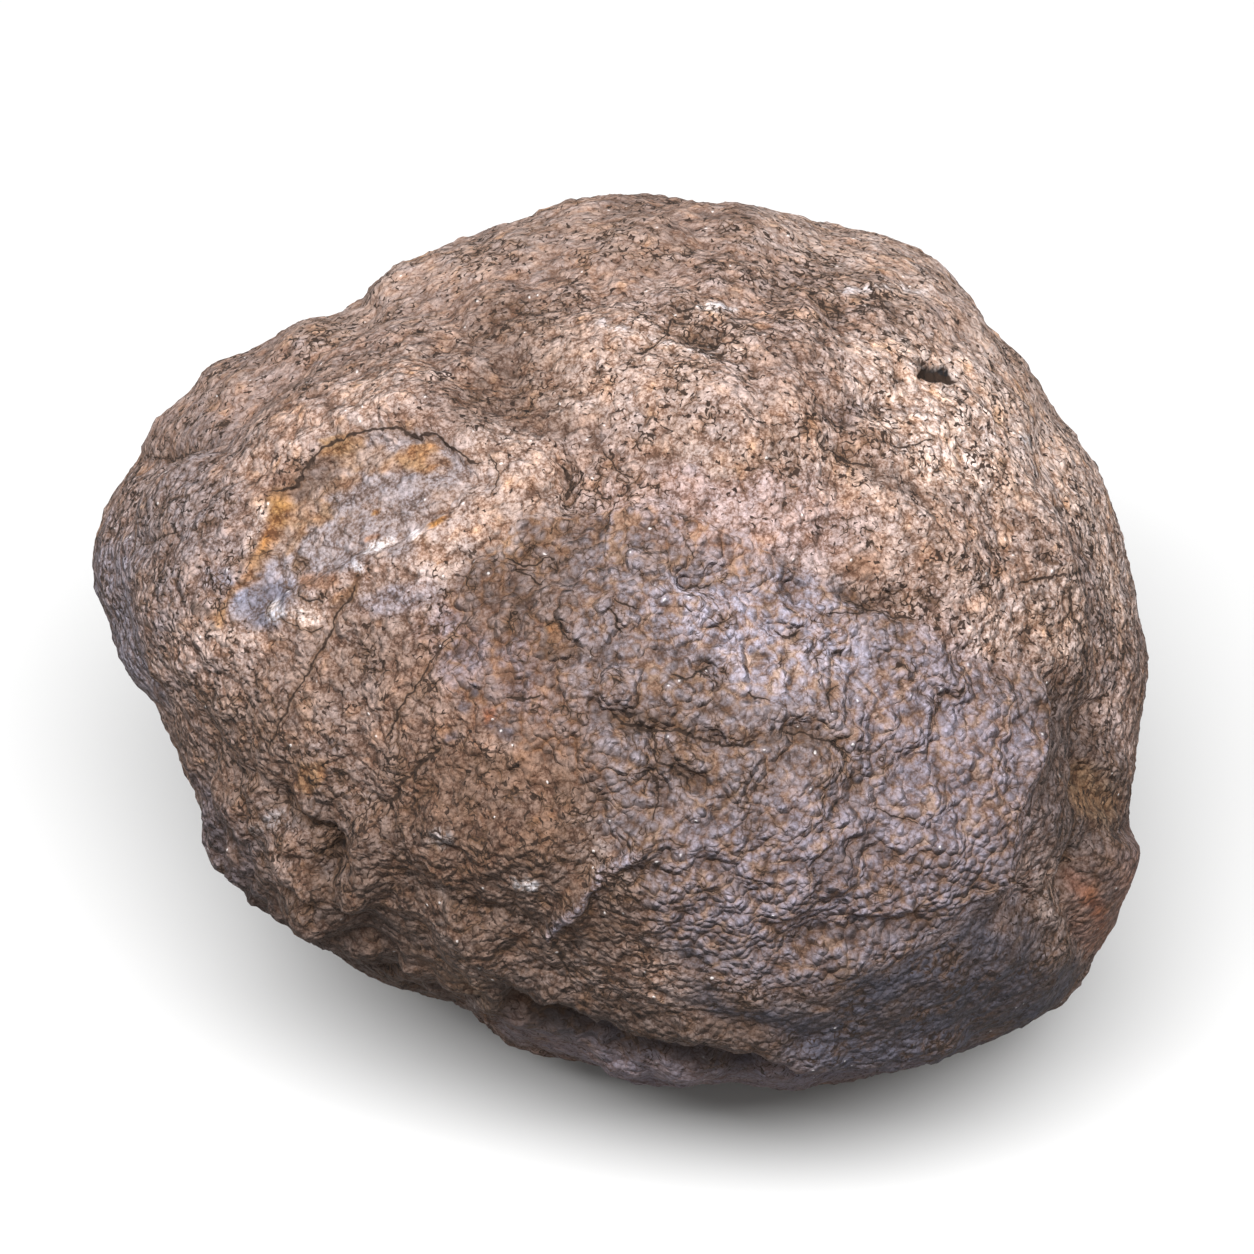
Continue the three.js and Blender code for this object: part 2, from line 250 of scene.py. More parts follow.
# Ridges and, below zero, grooves of the showing side: width, height, path
showingLines = {
    "groove behind the left shoulder": (4.2, -2.0, ((-68.6, 26), (-63.8, 28.2), (-57.7, 30.6),
        (-52.7, 36.3), (-44.1, 41.7), (-36.3, 48.2))),
    "valley between the crowns": (13, -1.7, ((-27, 45), (-14.3, 38.8), (-6.9, 30.6), (-7.2, 20))),
    "crevice under the valley": (2.6, -1.5, ((-9.2, 29.4), (-7.5, 25.2), (-8, 21.2))),
    "left shoulder swell": (16, 1.6, ((-58, 20), (-44, 34), (-30, 38))),
    "right shoulder swell": (18, 1.2, ((22, 32), (44, 26), (56, 12))),
    "edge of the grey face": (3.6, 0.9, ((59.6, -3), (59.8, -8), (59.3, -13), (57.2, -18.5), (55, -24),
        (53.8, -31), (53, -36))),
    "turn below the grey face": (8, -1.1, ((57, -36), (46, -43.5), (34, -48.5))),
    "trough beside the edge": (5, -1.2, ((63.8, -11), (63.4, -16), (61, -21), (58.8, -28), (58.2, -36))),
    "crevice across the face": (3.2, -0.9, ((-2.9, -8.4), (0.6, -10), (5.3, -12.5), (9.5, -11.5),
        (15, -14.5), (19.7, -12.5), (27.9, -11.9), (32, -14.5), (34.6, -16))),
    "fork of the crevice": (3, -1.0, ((5.3, -12.5), (8, -17), (12.6, -20.8), (14, -22.8))),
    "brow over the crevice": (6, 0.5, ((-1, -6.5), (5, -9), (10, -8.6), (19, -9.6), (28, -9))),
    "pit high on the face": (2.4, -1.2, ((22.2, 2.6), (25, 2.2), (27.5, 2.6))),
    "pit in the middle of the face": (2.6, -1.2, ((11, -2.4), (13, -3.2))),
    "arc on the left of the face": (2, -0.8, ((-1.5, 4), (0.2, 1.2))),
    "arc at the top of the face": (2.2, -0.9, ((9, 9), (13.5, 8.2), (18.5, 7))),
    "slant high on the face": (2.2, -0.8, ((24.6, 8.6), (27.8, 4.4))),
    "short crevice on the right": (3.6, -1.2, ((28.1, -30.2), (33, -28.9), (38.5, -30.5))),
    "short crevice on the left": (3.2, -1.0, ((11.4, -30), (15, -32), (18.5, -34.4))),
    "low crevice": (3.2, -1.1, ((24.1, -41.6), (34.1, -41.4), (42, -39.6))),
    "crevice by the rust patch": (4, -1.5, ((28, 7.6), (35, 7.4), (40.5, 5.6))),
    "flank crease": (3.6, -1.7, ((68.3, -9.4), (67.9, -16.4), (66.5, -26.3), (65.6, -34.1))),
    "flank pit": (5, -2.8, ((69.3, -20), (69.5, -23))),
    "red lobe": (9, 0.3, ((70, -28), (69, -35))),
    "crease round the red lobe": (2.6, -1.8, ((72.7, -25.6), (68.7, -26.8), (65.9, -31.7), (64.6, -37),
        (65.6, -42))),
    "crease to the hollow": (3.4, -1.2, ((-50, -22), (-47.4, -24.6), (-44.9, -27), (-42.4, -28.8))),
    "hollow low on the left": (4.8, -3.6, ((-42.4, -29), (-41.8, -31.8))),
    "rib below the hollow": (4.4, 2.0, ((-44.4, -31.6), (-43.9, -34), (-42.6, -37), (-41.8, -39))),
    "rib right of the hollow": (4.2, 2.0, ((-36.6, -27.4), (-36.6, -32.7), (-37, -36.3))),
    "lump left of the hollow": (6, 1.4, ((-48.4, -26.5), (-47.5, -28))),
    "vein ridge base": (3.5, -0.9, ((-31, -34), (-28.6, -38), (-27, -43))),
    "vein ridge": (2.8, 1.7, ((-9.6, -41.4), (-8.9, -38.8), (-6.9, -36.5), (-3.5, -34.5), (-2.1, -31.7),
        (2.8, -27.7))),
    "overhanging lip": (3.6, 1.5, ((-9.9, -50.2), (-4, -53), (3, -54.7), (11, -54.8), (17, -56.2),
        (22, -56.3))),
    "crease under the lip": (2.8, -3.8, ((-15.5, -51.2), (-10.4, -53.4), (-5.6, -55.6), (0, -57.6),
        (6, -58.6), (12, -59.2), (17, -60), (22.5, -59.8))),
    "lower lip": (3.4, 1.4, ((21, -58.4), (25.5, -58.9), (32.6, -59.2), (41.7, -58), (48.3, -57))),
    "crease under the lower lip": (2.4, -2.6, ((20, -59.7), (25.5, -61.2), (32.6, -61.2), (41.7, -60.1))),
    "lump under the lip": (6, 1.6, ((-1, -60.4), (2, -61))),
    "second lump under the lip": (7, 1.6, ((9, -61.4), (13, -61.6))),
    "dark dip on the crown": (5, -1.0, ((10, 44), (14, 43.4))),
    "dip high on the right": (4.5, -0.9, ((30.5, 47.6), (32, 46.6))),
    "slant dip on the right": (4, -0.9, ((29.8, 29), (36, 25.4), (41.2, 22.8))),
    "oval dip on the right": (5, -0.8, ((30, 33.2), (38, 33.6))),
    "dip by the top left of the face": (7, -1.0, ((-22, 13), (-14, 12.5))),
    "slant dip high on the face": (3.6, -0.9, ((4.5, 14.6), (9.5, 10.2), (17, 10.6))),
    "crease at the top of the face edge": (3, -0.5, ((48, -1.5), (56, -2), (60.5, -4.5), (62.5, -10))),
    "pale ridge by the crown": (4, 0.9, ((38.5, 19.5), (44, 15), (48.5, 10.8))),
    "ridge over the patch": (5, 1.0, ((-47, 28), (-40, 32), (-31, 33.4))),
    "ridge right of the patch": (6, 1.0, ((-19, 30), (-13.5, 25), (-13, 20.5))),
}

# A ledge steps up on the left of its path: height, reach, how wide its step is, path
showingLedges = {
    "edge over the recess": (2.2, 8, 1.6, ((-34.5, -23.6), (-30.2, -29.6), (-25.4, -33.8), (-25.8, -37.1),
        (-24.8, -40.4), (-21.5, -44.6), (-17.1, -48.3))),
    "edge of the face": (1.5, 8, 1.5, ((54.9, -38), (54.6, -31), (55.8, -24), (58.1, -18.5), (60.1, -13),
        (60.6, -8), (60.4, -3))),
    "step along the left tip": (1.3, 9, 1.6, ((-71.2, 14.2), (-69.3, 6.4), (-68.3, -0.7), (-65.8, -7.8))),
    "crust edge over the grey face": (1.1, 12, 1.8, ((59.6, -3.3), (49, -1.4), (40.5, 4.3), (32.6, 8.5),
        (22.7, 13.8), (11.3, 18.9), (2.8, 20.6), (-5.8, 20.6), (-15, 18.9), (-21.7, 12.7), (-25, 6.4),
        (-27.1, 0.7))),
}

# Regions of the showing side, as closed outlines
regions = {
    "face": ((-27, 0.5), (-25, 6.4), (-21.7, 12.7), (-15, 18.5), (-6, 20.5), (3, 20.5), (11, 19),
        (22.7, 13.8), (32.6, 8.5), (40.5, 4.3), (49, -1.4), (60.6, -4.2), (60.3, -12.8), (58.1, -18.5),
        (55.8, -23.6), (54.5, -32.4), (50, -39), (41, -45), (30, -48.5), (19.8, -48.3), (9.9, -45.5),
        (4.2, -40.5), (2.8, -33.4), (-2.9, -26.3), (-7.2, -17.8), (-14.3, -14.2), (-24.2, -7.8)),
    "patch": ((-49.6, 22), (-47.1, 23.1), (-45.2, 24.6), (-43.5, 26.1), (-42, 27.3), (-39.8, 28.5),
        (-36.5, 30), (-29.9, 29.7), (-25.7, 29.4), (-22.5, 27), (-20, 25.5), (-18, 25.7), (-18, 22.9),
        (-21.4, 19.2), (-25.7, 16.1), (-31.7, 12.8), (-38.6, 11.5), (-43, 9.4), (-47.2, 6.5), (-51, 2.8),
        (-55.2, 2.7), (-55.4, 5.5), (-54.5, 9), (-52, 13), (-50.6, 15.7), (-50.2, 18.6), (-49.6, 20.6)),
    "recess": ((-38.2, -37), (-33.1, -34.8), (-28.2, -37), (-24.8, -41.2), (-21.4, -45.5), (-17.1, -48.8),
        (-23.5, -53), (-31.4, -52), (-42, -46)),
    "turn": ((8, -44), (20, -48.5), (32, -48.5), (46, -42), (53, -36), (56, -38), (62, -42), (68, -48),
        (62, -56), (50, -62), (36, -64), (20, -57.5), (10, -52)),
    "lip": ((-15, -51), (-6, -55), (4, -57.2), (13, -57.6), (20, -58.6), (34, -59.6), (44, -58.8),
        (52, -66), (0, -74), (-24, -60)),
    "lobe": ((69.8, -27.3), (72.2, -25.6), (80, -25), (84, -34), (80, -46), (68, -46), (65.4, -41),
        (64.9, -38), (65.6, -35.3), (66.3, -32.7), (68, -30)),
    "tip": ((-84, 15), (-71.5, 14.2), (-69.3, 6.4), (-68.3, -0.7), (-65.5, -8), (-68, -16), (-84, -6)),
}

# Regions with knuckles of their own: size across, height, closed outline
knuckles = {
    "low left": (6.5, 1.5, ((-60, -14), (-50, -18), (-40, -26), (-34, -30), (-26, -42), (-16, -49),
        (-20, -58), (-50, -48), (-66, -28))),
    "under the lip": (7, 0.9, ((-18, -52), (-2, -57.4), (22, -59.4), (24, -70), (-20, -66))),
    "face": (7, 0.9, ((-20, 12), (10, 14), (40, 2), (58, -6), (54, -30), (40, -43), (10, -43), (2, -30),
        (-6, -16))),
    "middle": (6, 0.8, ((-34, -6), (-12, -14), (0, -34), (-8, -48), (-22, -40), (-32, -26))),
}

# Long cracks: half width at the middle, path
cracks = {
    "left crack": (0.15, ((-38.3, 10.2), (-39, 8.1), (-40.5, 6.4), (-41.6, 4.1), (-43, 1.3), (-44.9, -2.4),
        (-46, -5), (-47.3, -7.8), (-48.1, -10.7), (-49.1, -13.2), (-50, -16.1))),
    "middle crack": (0.15, ((-23.1, 2.4), (-25.4, 0.7), (-27.1, -1.4), (-28.5, -3.8), (-29.6, -6.4),
        (-31.4, -8.5), (-32.3, -10.7), (-33.5, -12.8), (-34.2, -14.2))),
    "wide crack": (0.22, ((-25.6, -13.6), (-27.4, -15.6), (-28.5, -16.6), (-30.6, -18.9), (-32.1, -20.3),
        (-33.1, -22), (-34.1, -23.4), (-34.2, -25.4))),
    "branch of the wide crack": (0.09, ((-28.9, -18.3), (-30.6, -19.2), (-32.5, -19.2))),
    "crease into the hollow": (0.09, ((-51, -23.5), (-49, -22.9), (-47, -24.2), (-45.1, -25.6),
        (-43.6, -26.9), (-41, -27.4))),
    "crease out of the hollow": (0.1, ((-40.2, -26.9), (-38.5, -24.9), (-36.8, -23.5), (-35.3, -23),
        (-34.2, -23.7))),
    "right of the hollow": (0.1, ((-40.2, -27.2), (-39.2, -29.1), (-39.5, -31.1), (-40.5, -32.8))),
    "crease down the ribs": (0.12, ((-43, -30.3), (-42, -32), (-40.9, -34.1), (-40.2, -36.1))),
    "vein crack": (0.18, ((-9.6, -38), (-9.9, -41.9), (-8.6, -45.1), (-7.5, -49.1))),
    "right crack": (0.17, ((55.8, 8.7), (58.5, 9.5), (60.8, 9.7), (63.9, 10.2))),
    "flank crack": (0.17, ((61.1, 9.5), (62.8, 5), (64.6, 0.7), (66.8, -3.8), (68.5, -7.5))),
    "shoulder crack": (0.12, ((-68.5, 27.4), (-65.5, 27.7), (-62.6, 28.6), (-59.8, 28.6))),
    "tip crack": (0.1, ((-68, 14.2), (-64.8, 15.2), (-61.2, 15.8))),
    "patch rim": (0.17, ((-51, 22.2), (-49, 22.4), (-47.1, 23.3), (-45.2, 24.8), (-43.5, 26.3), (-42, 27.5),
        (-39.8, 28.7), (-37.5, 29.3), (-34.8, 30.4), (-30.6, 30.1), (-26.1, 29.7), (-22, 27), (-20.7, 26),
        (-18.8, 26.2))),
    "right end of the patch": (0.1, ((-18.8, 27.9), (-17.8, 26.3), (-17.6, 24.6), (-18, 22.9),
        (-19.1, 21.5))),
    "crown crevice": (0.2, ((-8.6, 28), (-7.6, 25.2), (-8.2, 22))),
    "crevice in the face": (0.18, ((-2.5, -9), (0.6, -10.5), (4.2, -12.1), (7.9, -11.5), (10.5, -12.5),
        (14, -14.1), (17.6, -13.5), (19.7, -12.5))),
    "crevice right in the face": (0.15, ((21.7, -12.1), (25.8, -12.2), (29.9, -13.4), (33.1, -15.6))),
    "fork of the crevice": (0.16, ((4.2, -12.1), (4.8, -13.6), (5.3, -15.6), (7.3, -16.6), (9.5, -18.2),
        (9.9, -20.8))),
    "crack low in the face": (0.13, ((1.6, -17.5), (3.8, -17.2), (4.8, -18.2), (5.6, -20), (4.8, -22.3),
        (3.8, -24.3))),
    "arc left in the face": (0.16, ((-1.9, 5.5), (-0.9, 4.4), (-0.4, 2.7), (0.5, 1.6))),
    "arc over it": (0.14, ((-1.1, 6.7), (0.2, 5.7), (3.1, 5.1))),
    "arc at the top": (0.14, ((9, 7.5), (9.9, 9), (12, 8.5), (13.6, 9.5))),
    "pit high in the face": (0.19, ((22.3, 2.6), (23.2, 1.7), (24.2, 1.6), (26.4, 2.3))),
    "crack by the rust patch": (0.17, ((31.9, 7.3), (34.1, 6.4), (36, 6.1), (38.2, 5.4), (41.2, 4.4),
        (43.3, 3.4))),
    "second crack by it": (0.13, ((29.4, 5), (33.1, 4.4), (36, 5.4))),
    "hooked crack": (0.13, ((31.2, -5.5), (29.9, -6), (29.4, -7), (29.2, -9.5))),
    "middle pit of the face": (0.17, ((6.9, -3.8), (9.5, -4.5), (12, -3.3), (13.2, -2.8))),
    "low crack on the right": (0.1, ((35.6, -23.3), (39.2, -24.3), (42.3, -24.6))),
    "short crack in the face": (0.13, ((18.1, -6.7), (19.1, -7.4), (21.3, -7.7))),
    "upper left crack": (0.18, ((-15.1, 11.2), (-14, 10.7), (-12.7, 9.7), (-11, 9.1))),
    "crack over it": (0.14, ((-17.1, 12.7), (-15.4, 12.8), (-14.3, 11.8), (-12.3, 12.1), (-10.6, 12.7),
        (-9, 12.7))),
    "left hook": (0.15, ((-15.9, 5), (-15.7, 3.3), (-14.9, 2.1))),
    "crease left of the face": (0.19, ((-10.7, -6.4), (-12.2, -7), (-13.9, -7.4), (-16, -7.3))),
    "rusty fork": (0.14, ((-8.6, 3.8), (-7.7, 1.8), (-7, 0.7))),
    "crown crack": (0.15, ((1.6, 41.1), (4.1, 42.7), (6.5, 44.4), (7.6, 47.3), (8.9, 46.5), (10.6, 46.2))),
    "crown crack below": (0.15, ((8.9, 45.2), (10, 44.1), (11.6, 43.2), (13.3, 43.5), (14.3, 42.7))),
    "crown crack over": (0.13, ((7.7, 48.9), (8, 47.9), (11, 47.9))),
    "second crown crack": (0.15, ((26.8, 51.5), (27.9, 49.8), (29.5, 49.2), (32.2, 48.6), (31.6, 47.1))),
    "second crown crack left": (0.13, ((28.9, 50.3), (30.1, 48.6), (30.6, 47.3))),
    "crack at the valley foot": (0.15, ((-2.5, 28.6), (-0.9, 27), (0.2, 24.9), (2.3, 24.3))),
    "slope crack": (0.15, ((27.4, 30.3), (28.9, 28.6), (31.2, 27.6), (33.3, 26.4), (37.2, 25.3))),
    "slope crack right": (0.13, ((37.2, 28.6), (40.3, 28.3), (44.1, 29.4))),
    "fleck": (0.75, ((42.3, 39.7), (44, 39.2), (45.6, 38.5), (47.7, 37.4))),
    "edge of the pale chip": (0.1, ((-48.4, 4.8), (-47.8, 3.6), (-46.1, 2.4), (-44.6, 2), (-43, 3))),
    "dent over the pale chip": (0.14, ((-47.3, 8.1), (-46.4, 7), (-45, 6.4), (-43.7, 7), (-43, 6))),
}

# How deep the broken patch, the recess and the cracks are sunk
sunken = {
    "patchDepth": 1.9,
    "sharpEdge": 0.9,  # how wide the patch's edge is above, and below
    "wornEdge": 4.5,
    "recessDepth": 1.6,
    "crackDepth": 2.2,  # times its half width
    "crackTrough": 1.8,
    "crackRag": 0.5,  # how far a crack strays, and over what size
    "crackRagSize": 2.2,
}

lean = math.radians(noduleForm["leanBack"])
across = np.array((1.0, 0.0, 0.0))
up = np.array((0.0, math.sin(lean), math.cos(lean)))
out = np.array((0.0, -math.cos(lean), math.sin(lean)))
middle = np.array(noduleForm["middle"])

print("shaping the nodule")
rindMesh, directions = evenSphere(noduleForm["cutsPerEdge"], noduleForm["frontDetail"])
goAcross, goUp, goOut = directions.T
seenSide = np.maximum(np.hypot(goAcross, goUp), 1e-9)
rim = np.exp(-(goOut / noduleForm["rimWidth"]) ** 2)
fineRadius, evenRadius = outlineRadius(np.arctan2(goUp, goAcross), noduleForm["outline"])
fullRadius = evenRadius + rim * (fineRadius - evenRadius)
power = noduleForm["boxiness"]
reach = (seenSide ** power + np.abs(goOut) ** power) ** (-1 / power)
seenX = reach * fullRadius * goAcross
seenY = reach * fullRadius * goUp
halfDepth = np.where(goOut > 0, noduleForm["frontDepth"], noduleForm["backDepth"])
depth = reach * goOut * halfDepth - noduleForm["outlineSlant"] * seenY
nearer = 1 - depth / noduleForm["eyeDistance"]
points = (seenX * nearer)[:, None] * across + (seenY * nearer)[:, None] * up + depth[:, None] * out
fromMiddle = np.linalg.norm(points, axis=1)[:, None]
outward = points / fromMiddle
showing = smoothStep(-0.02, 0.2, goOut)
rough = 1 - noduleForm["rimCalm"] * np.exp(-(goOut / noduleForm["quietRim"]) ** 2)

# Wide lumps with creases between them, in turned coordinates
turnedX = 0.8 * points[:, 0] + 0.6 * points[:, 1]
turnedY = 0.8 * points[:, 1] - 0.6 * points[:, 0] + 0.3 * points[:, 2]
turnedZ = points[:, 2] - 0.3 * points[:, 1]
lumpHeight = np.zeros(len(points))
for size, height in noduleForm["lumps"]:
    lumps = np.abs(smoothNoise(turnedX / size, turnedY / size, turnedZ / size + size))
    lumpHeight += height * (2 * lumps - 0.6)

hiddenHeight = np.zeros(len(points))
for towards, width, height in hiddenSwells.values():
    centre = np.array(Vector(towards).normalized()) * fromMiddle
    hiddenHeight += height * bell(np.linalg.norm(points - centre, axis=1), width)

# Ragged coordinates, so that no laid-out line or region has a smooth edge
ragX, ragY = seenX, seenY
for much, size, seedX, seedY in noduleForm["rag"]:
    ragX = ragX + much * smoothNoise(seenX / size, seenY / size, seedX)
    ragY = ragY + much * smoothNoise(seenX / size, seenY / size, seedY)
inside = {name: np.where(goOut > -0.25, depthInside(ragX, ragY, outline), -9.0)
          for name, outline in regions.items()}

showingHeight = np.zeros(len(points))
for width, height, path in showingLines.values():
    showingHeight += height * bell(nearestOnPath(ragX, ragY, path)[0], width)
for height, ledgeReach, rise, path in showingLedges.values():
    distance, side, along = nearestOnPath(ragX, ragY, path)
    ends = smoothStep(0, 0.15, along) * smoothStep(0, 0.15, 1 - along)
    ledge = height * ends * smoothStep(0, rise, distance) * np.exp(-distance / ledgeReach)
    showingHeight += np.where(side > 0, ledge, 0)
for size, height, outline in knuckles.values():
    share = smoothStep(-3, 3, depthInside(seenX, seenY, outline))
    showingHeight += share * height * (1.6 * np.abs(layeredNoise(points, size, 2, size)) - 0.6)

# The broken patch has a sharp upper edge and a worn lower one
upperShare = smoothStep(-3, 4, ragY - (5 + 0.54 * (ragX + 55)))
patchEdge = sunken["wornEdge"] - (sunken["wornEdge"] - sunken["sharpEdge"]) * upperShare
showingHeight -= sunken["patchDepth"] * smoothStep(0, 1, inside["patch"] / patchEdge)
showingHeight -= sunken["recessDepth"] * smoothStep(-1.5, 2.5, inside["recess"])

# Each crack sinks a little trough, and leaves its side and half width for the finish
size = sunken["crackRagSize"]
crackX = seenX + sunken["crackRag"] * smoothNoise(seenX / size, seenY / size, 2.5)
crackY = seenY + sunken["crackRag"] * smoothNoise(seenX / size, seenY / size, 5.5)
crackSide = np.full(len(points), 9.0)
crackShow = np.zeros(len(points))
for halfWidth, path in cracks.values():
    distance, side, along = nearestOnPath(crackX, crackY, path)
    ends = smoothStep(0, 0.12, along) * smoothStep(0, 0.12, 1 - along)
    nearest = distance < np.abs(crackSide)
    crackSide = np.where(nearest, side * distance, crackSide)
    crackShow = np.where(nearest, ends * halfWidth * (1 - smoothStep(1.6, 2.6, distance)), crackShow)
    showingHeight -= sunken["crackDepth"] * halfWidth * ends * bell(distance, sunken["crackTrough"])

points += outward * (showing * showingHeight + rough * ((1 - showing) * hiddenHeight + lumpHeight))[:, None]

# The crust's skin, and how much of its roughness each region loses
skin = {
    "knobs": (5.2, 0.2),  # size across and height
    "crumbs": (2.2, 0.16),
    "plates": (3.4, 0.2),
    "grains": (1.8, 0.12),
    "domes": (2.8, 0.9),  # of the face alone
    "pits": (3.6, 0.3),
    "facePits": 0.5,
    "pastBox": 2.0,  # the most it may stand past the solid's box
}
skinLoss = {"face": 0.5, "patch": 0.7, "recess": 0.55, "lip": 0.6, "turn": 0.3, "lobe": 0.75, "tip": 0.65}


def creased(size, height, seed):
    return height * (2 * np.abs(layeredNoise(points, size, 2, seed)) - 0.7)


def bordered(near, following, border):
    return 1 - smoothStep(0, border, following - near)


print("roughening the skin")
crust = np.ones(len(points))
for name, loss in skinLoss.items():
    crust -= loss * smoothStep(-1, 1.5, inside[name]) * showing
crust = np.clip(crust, 0.2, 1)
face = smoothStep(-1, 1.5, inside["face"]) * showing
warped = points + 1.2 * noiseSteps(points, 5, 2, (1.3, 4.1, 7.7))
knobs = creased(*skin["knobs"], 3.1)
crumbs = creased(*skin["crumbs"], 5.3)
plateNear, plateNext = cellNoise(warped, skin["plates"][0], 11.0)
plates = -skin["plates"][1] * bordered(plateNear, plateNext, 0.25)
grainNear, grainNext = cellNoise(warped, skin["grains"][0], 23.0)
grains = -skin["grains"][1] * bordered(grainNear, grainNext, 0.4) + 0.1 * (0.5 - grainNear)
domeNear = cellNoise(0.6 * points + 0.4 * warped, skin["domes"][0], 31.0)[0]
domes = skin["domes"][1] * (0.42 - domeNear)
pitShare = smoothStep(0.6, 1.05, layeredNoise(warped, skin["pits"][0], 3, 9.7))
pits = -(skin["pits"][1] + skin["facePits"] * face) * pitShare
fineHeight = crust * (knobs + crumbs + plates + grains + pits) + face * (0.9 * knobs + 0.3 * plates + domes)
setPlaces(rindMesh, (points + middle) * mm)
points = points + fineHeight[:, None] * vertexNormals(rindMesh)
points += middle
points[:, 2] = np.maximum(points[:, 2], 0)  # the belly is worn flat where it rests
lowest, highest = np.array(cadBox) / mm
points = np.minimum(np.maximum(points, lowest - skin["pastBox"]), highest + skin["pastBox"])
setPlaces(rindMesh, points * mm)

# What the rock is coloured with, as red, green and blue
palette = {
    "beige": (166, 140, 127),
    "cream": (193, 165, 148),
    # paleCream is a pale rock colour, and also paints light onto the lit right side and the rims
    "paleCream": (224, 197, 180),
    "white": (220, 208, 203),
    "brown": (122, 98, 84),
    "deepBrown": (100, 80, 69),
    "greyBrown": (144, 126, 120),
    "mauve": (136, 120, 118),
    "lilac": (152, 137, 141),
    "slateBlue": (145, 138, 146),
    "paleLilac": (175, 161, 166),
    "lavender": (147, 132, 128),
    "slate": (85, 80, 87),
    "rosy": (173, 147, 139),
    "rust": (140, 98, 68),
    "ochre": (154, 109, 57),
    "red": (188, 144, 124),
    "orange": (150, 92, 62),
    "goldenBrown": (132, 100, 70),
    "black": (20, 17, 18),
    "shade": (108, 90, 82),
    # dark is used only for painted shade, in the hollow low on the left and under the ledge over the lip
    "dark": (34, 25, 20),
    "plum": (122, 108, 108),
}

# Regions filled with a colour: how soft the edge is, in millimetres, and how much of the colour
fills = {
    "face": ("mauve", 1.4, 0.9),
    "patch": ("lavender", 0.9, 0.95),
    "recess": ("brown", 2.0, 0.8),
    # The turn keeps the face's lilac grey but darkened to slate: partly the rock's own colour, partly painted
    # shade where the rock turns under
    "turn": ("slate", 4.0, 0.95),
    "lip": ("lilac", 1.5, 0.9),
    "lobe": ("red", 1.2, 0.95),
    "tip": ("greyBrown", 1.5, 0.9),
}

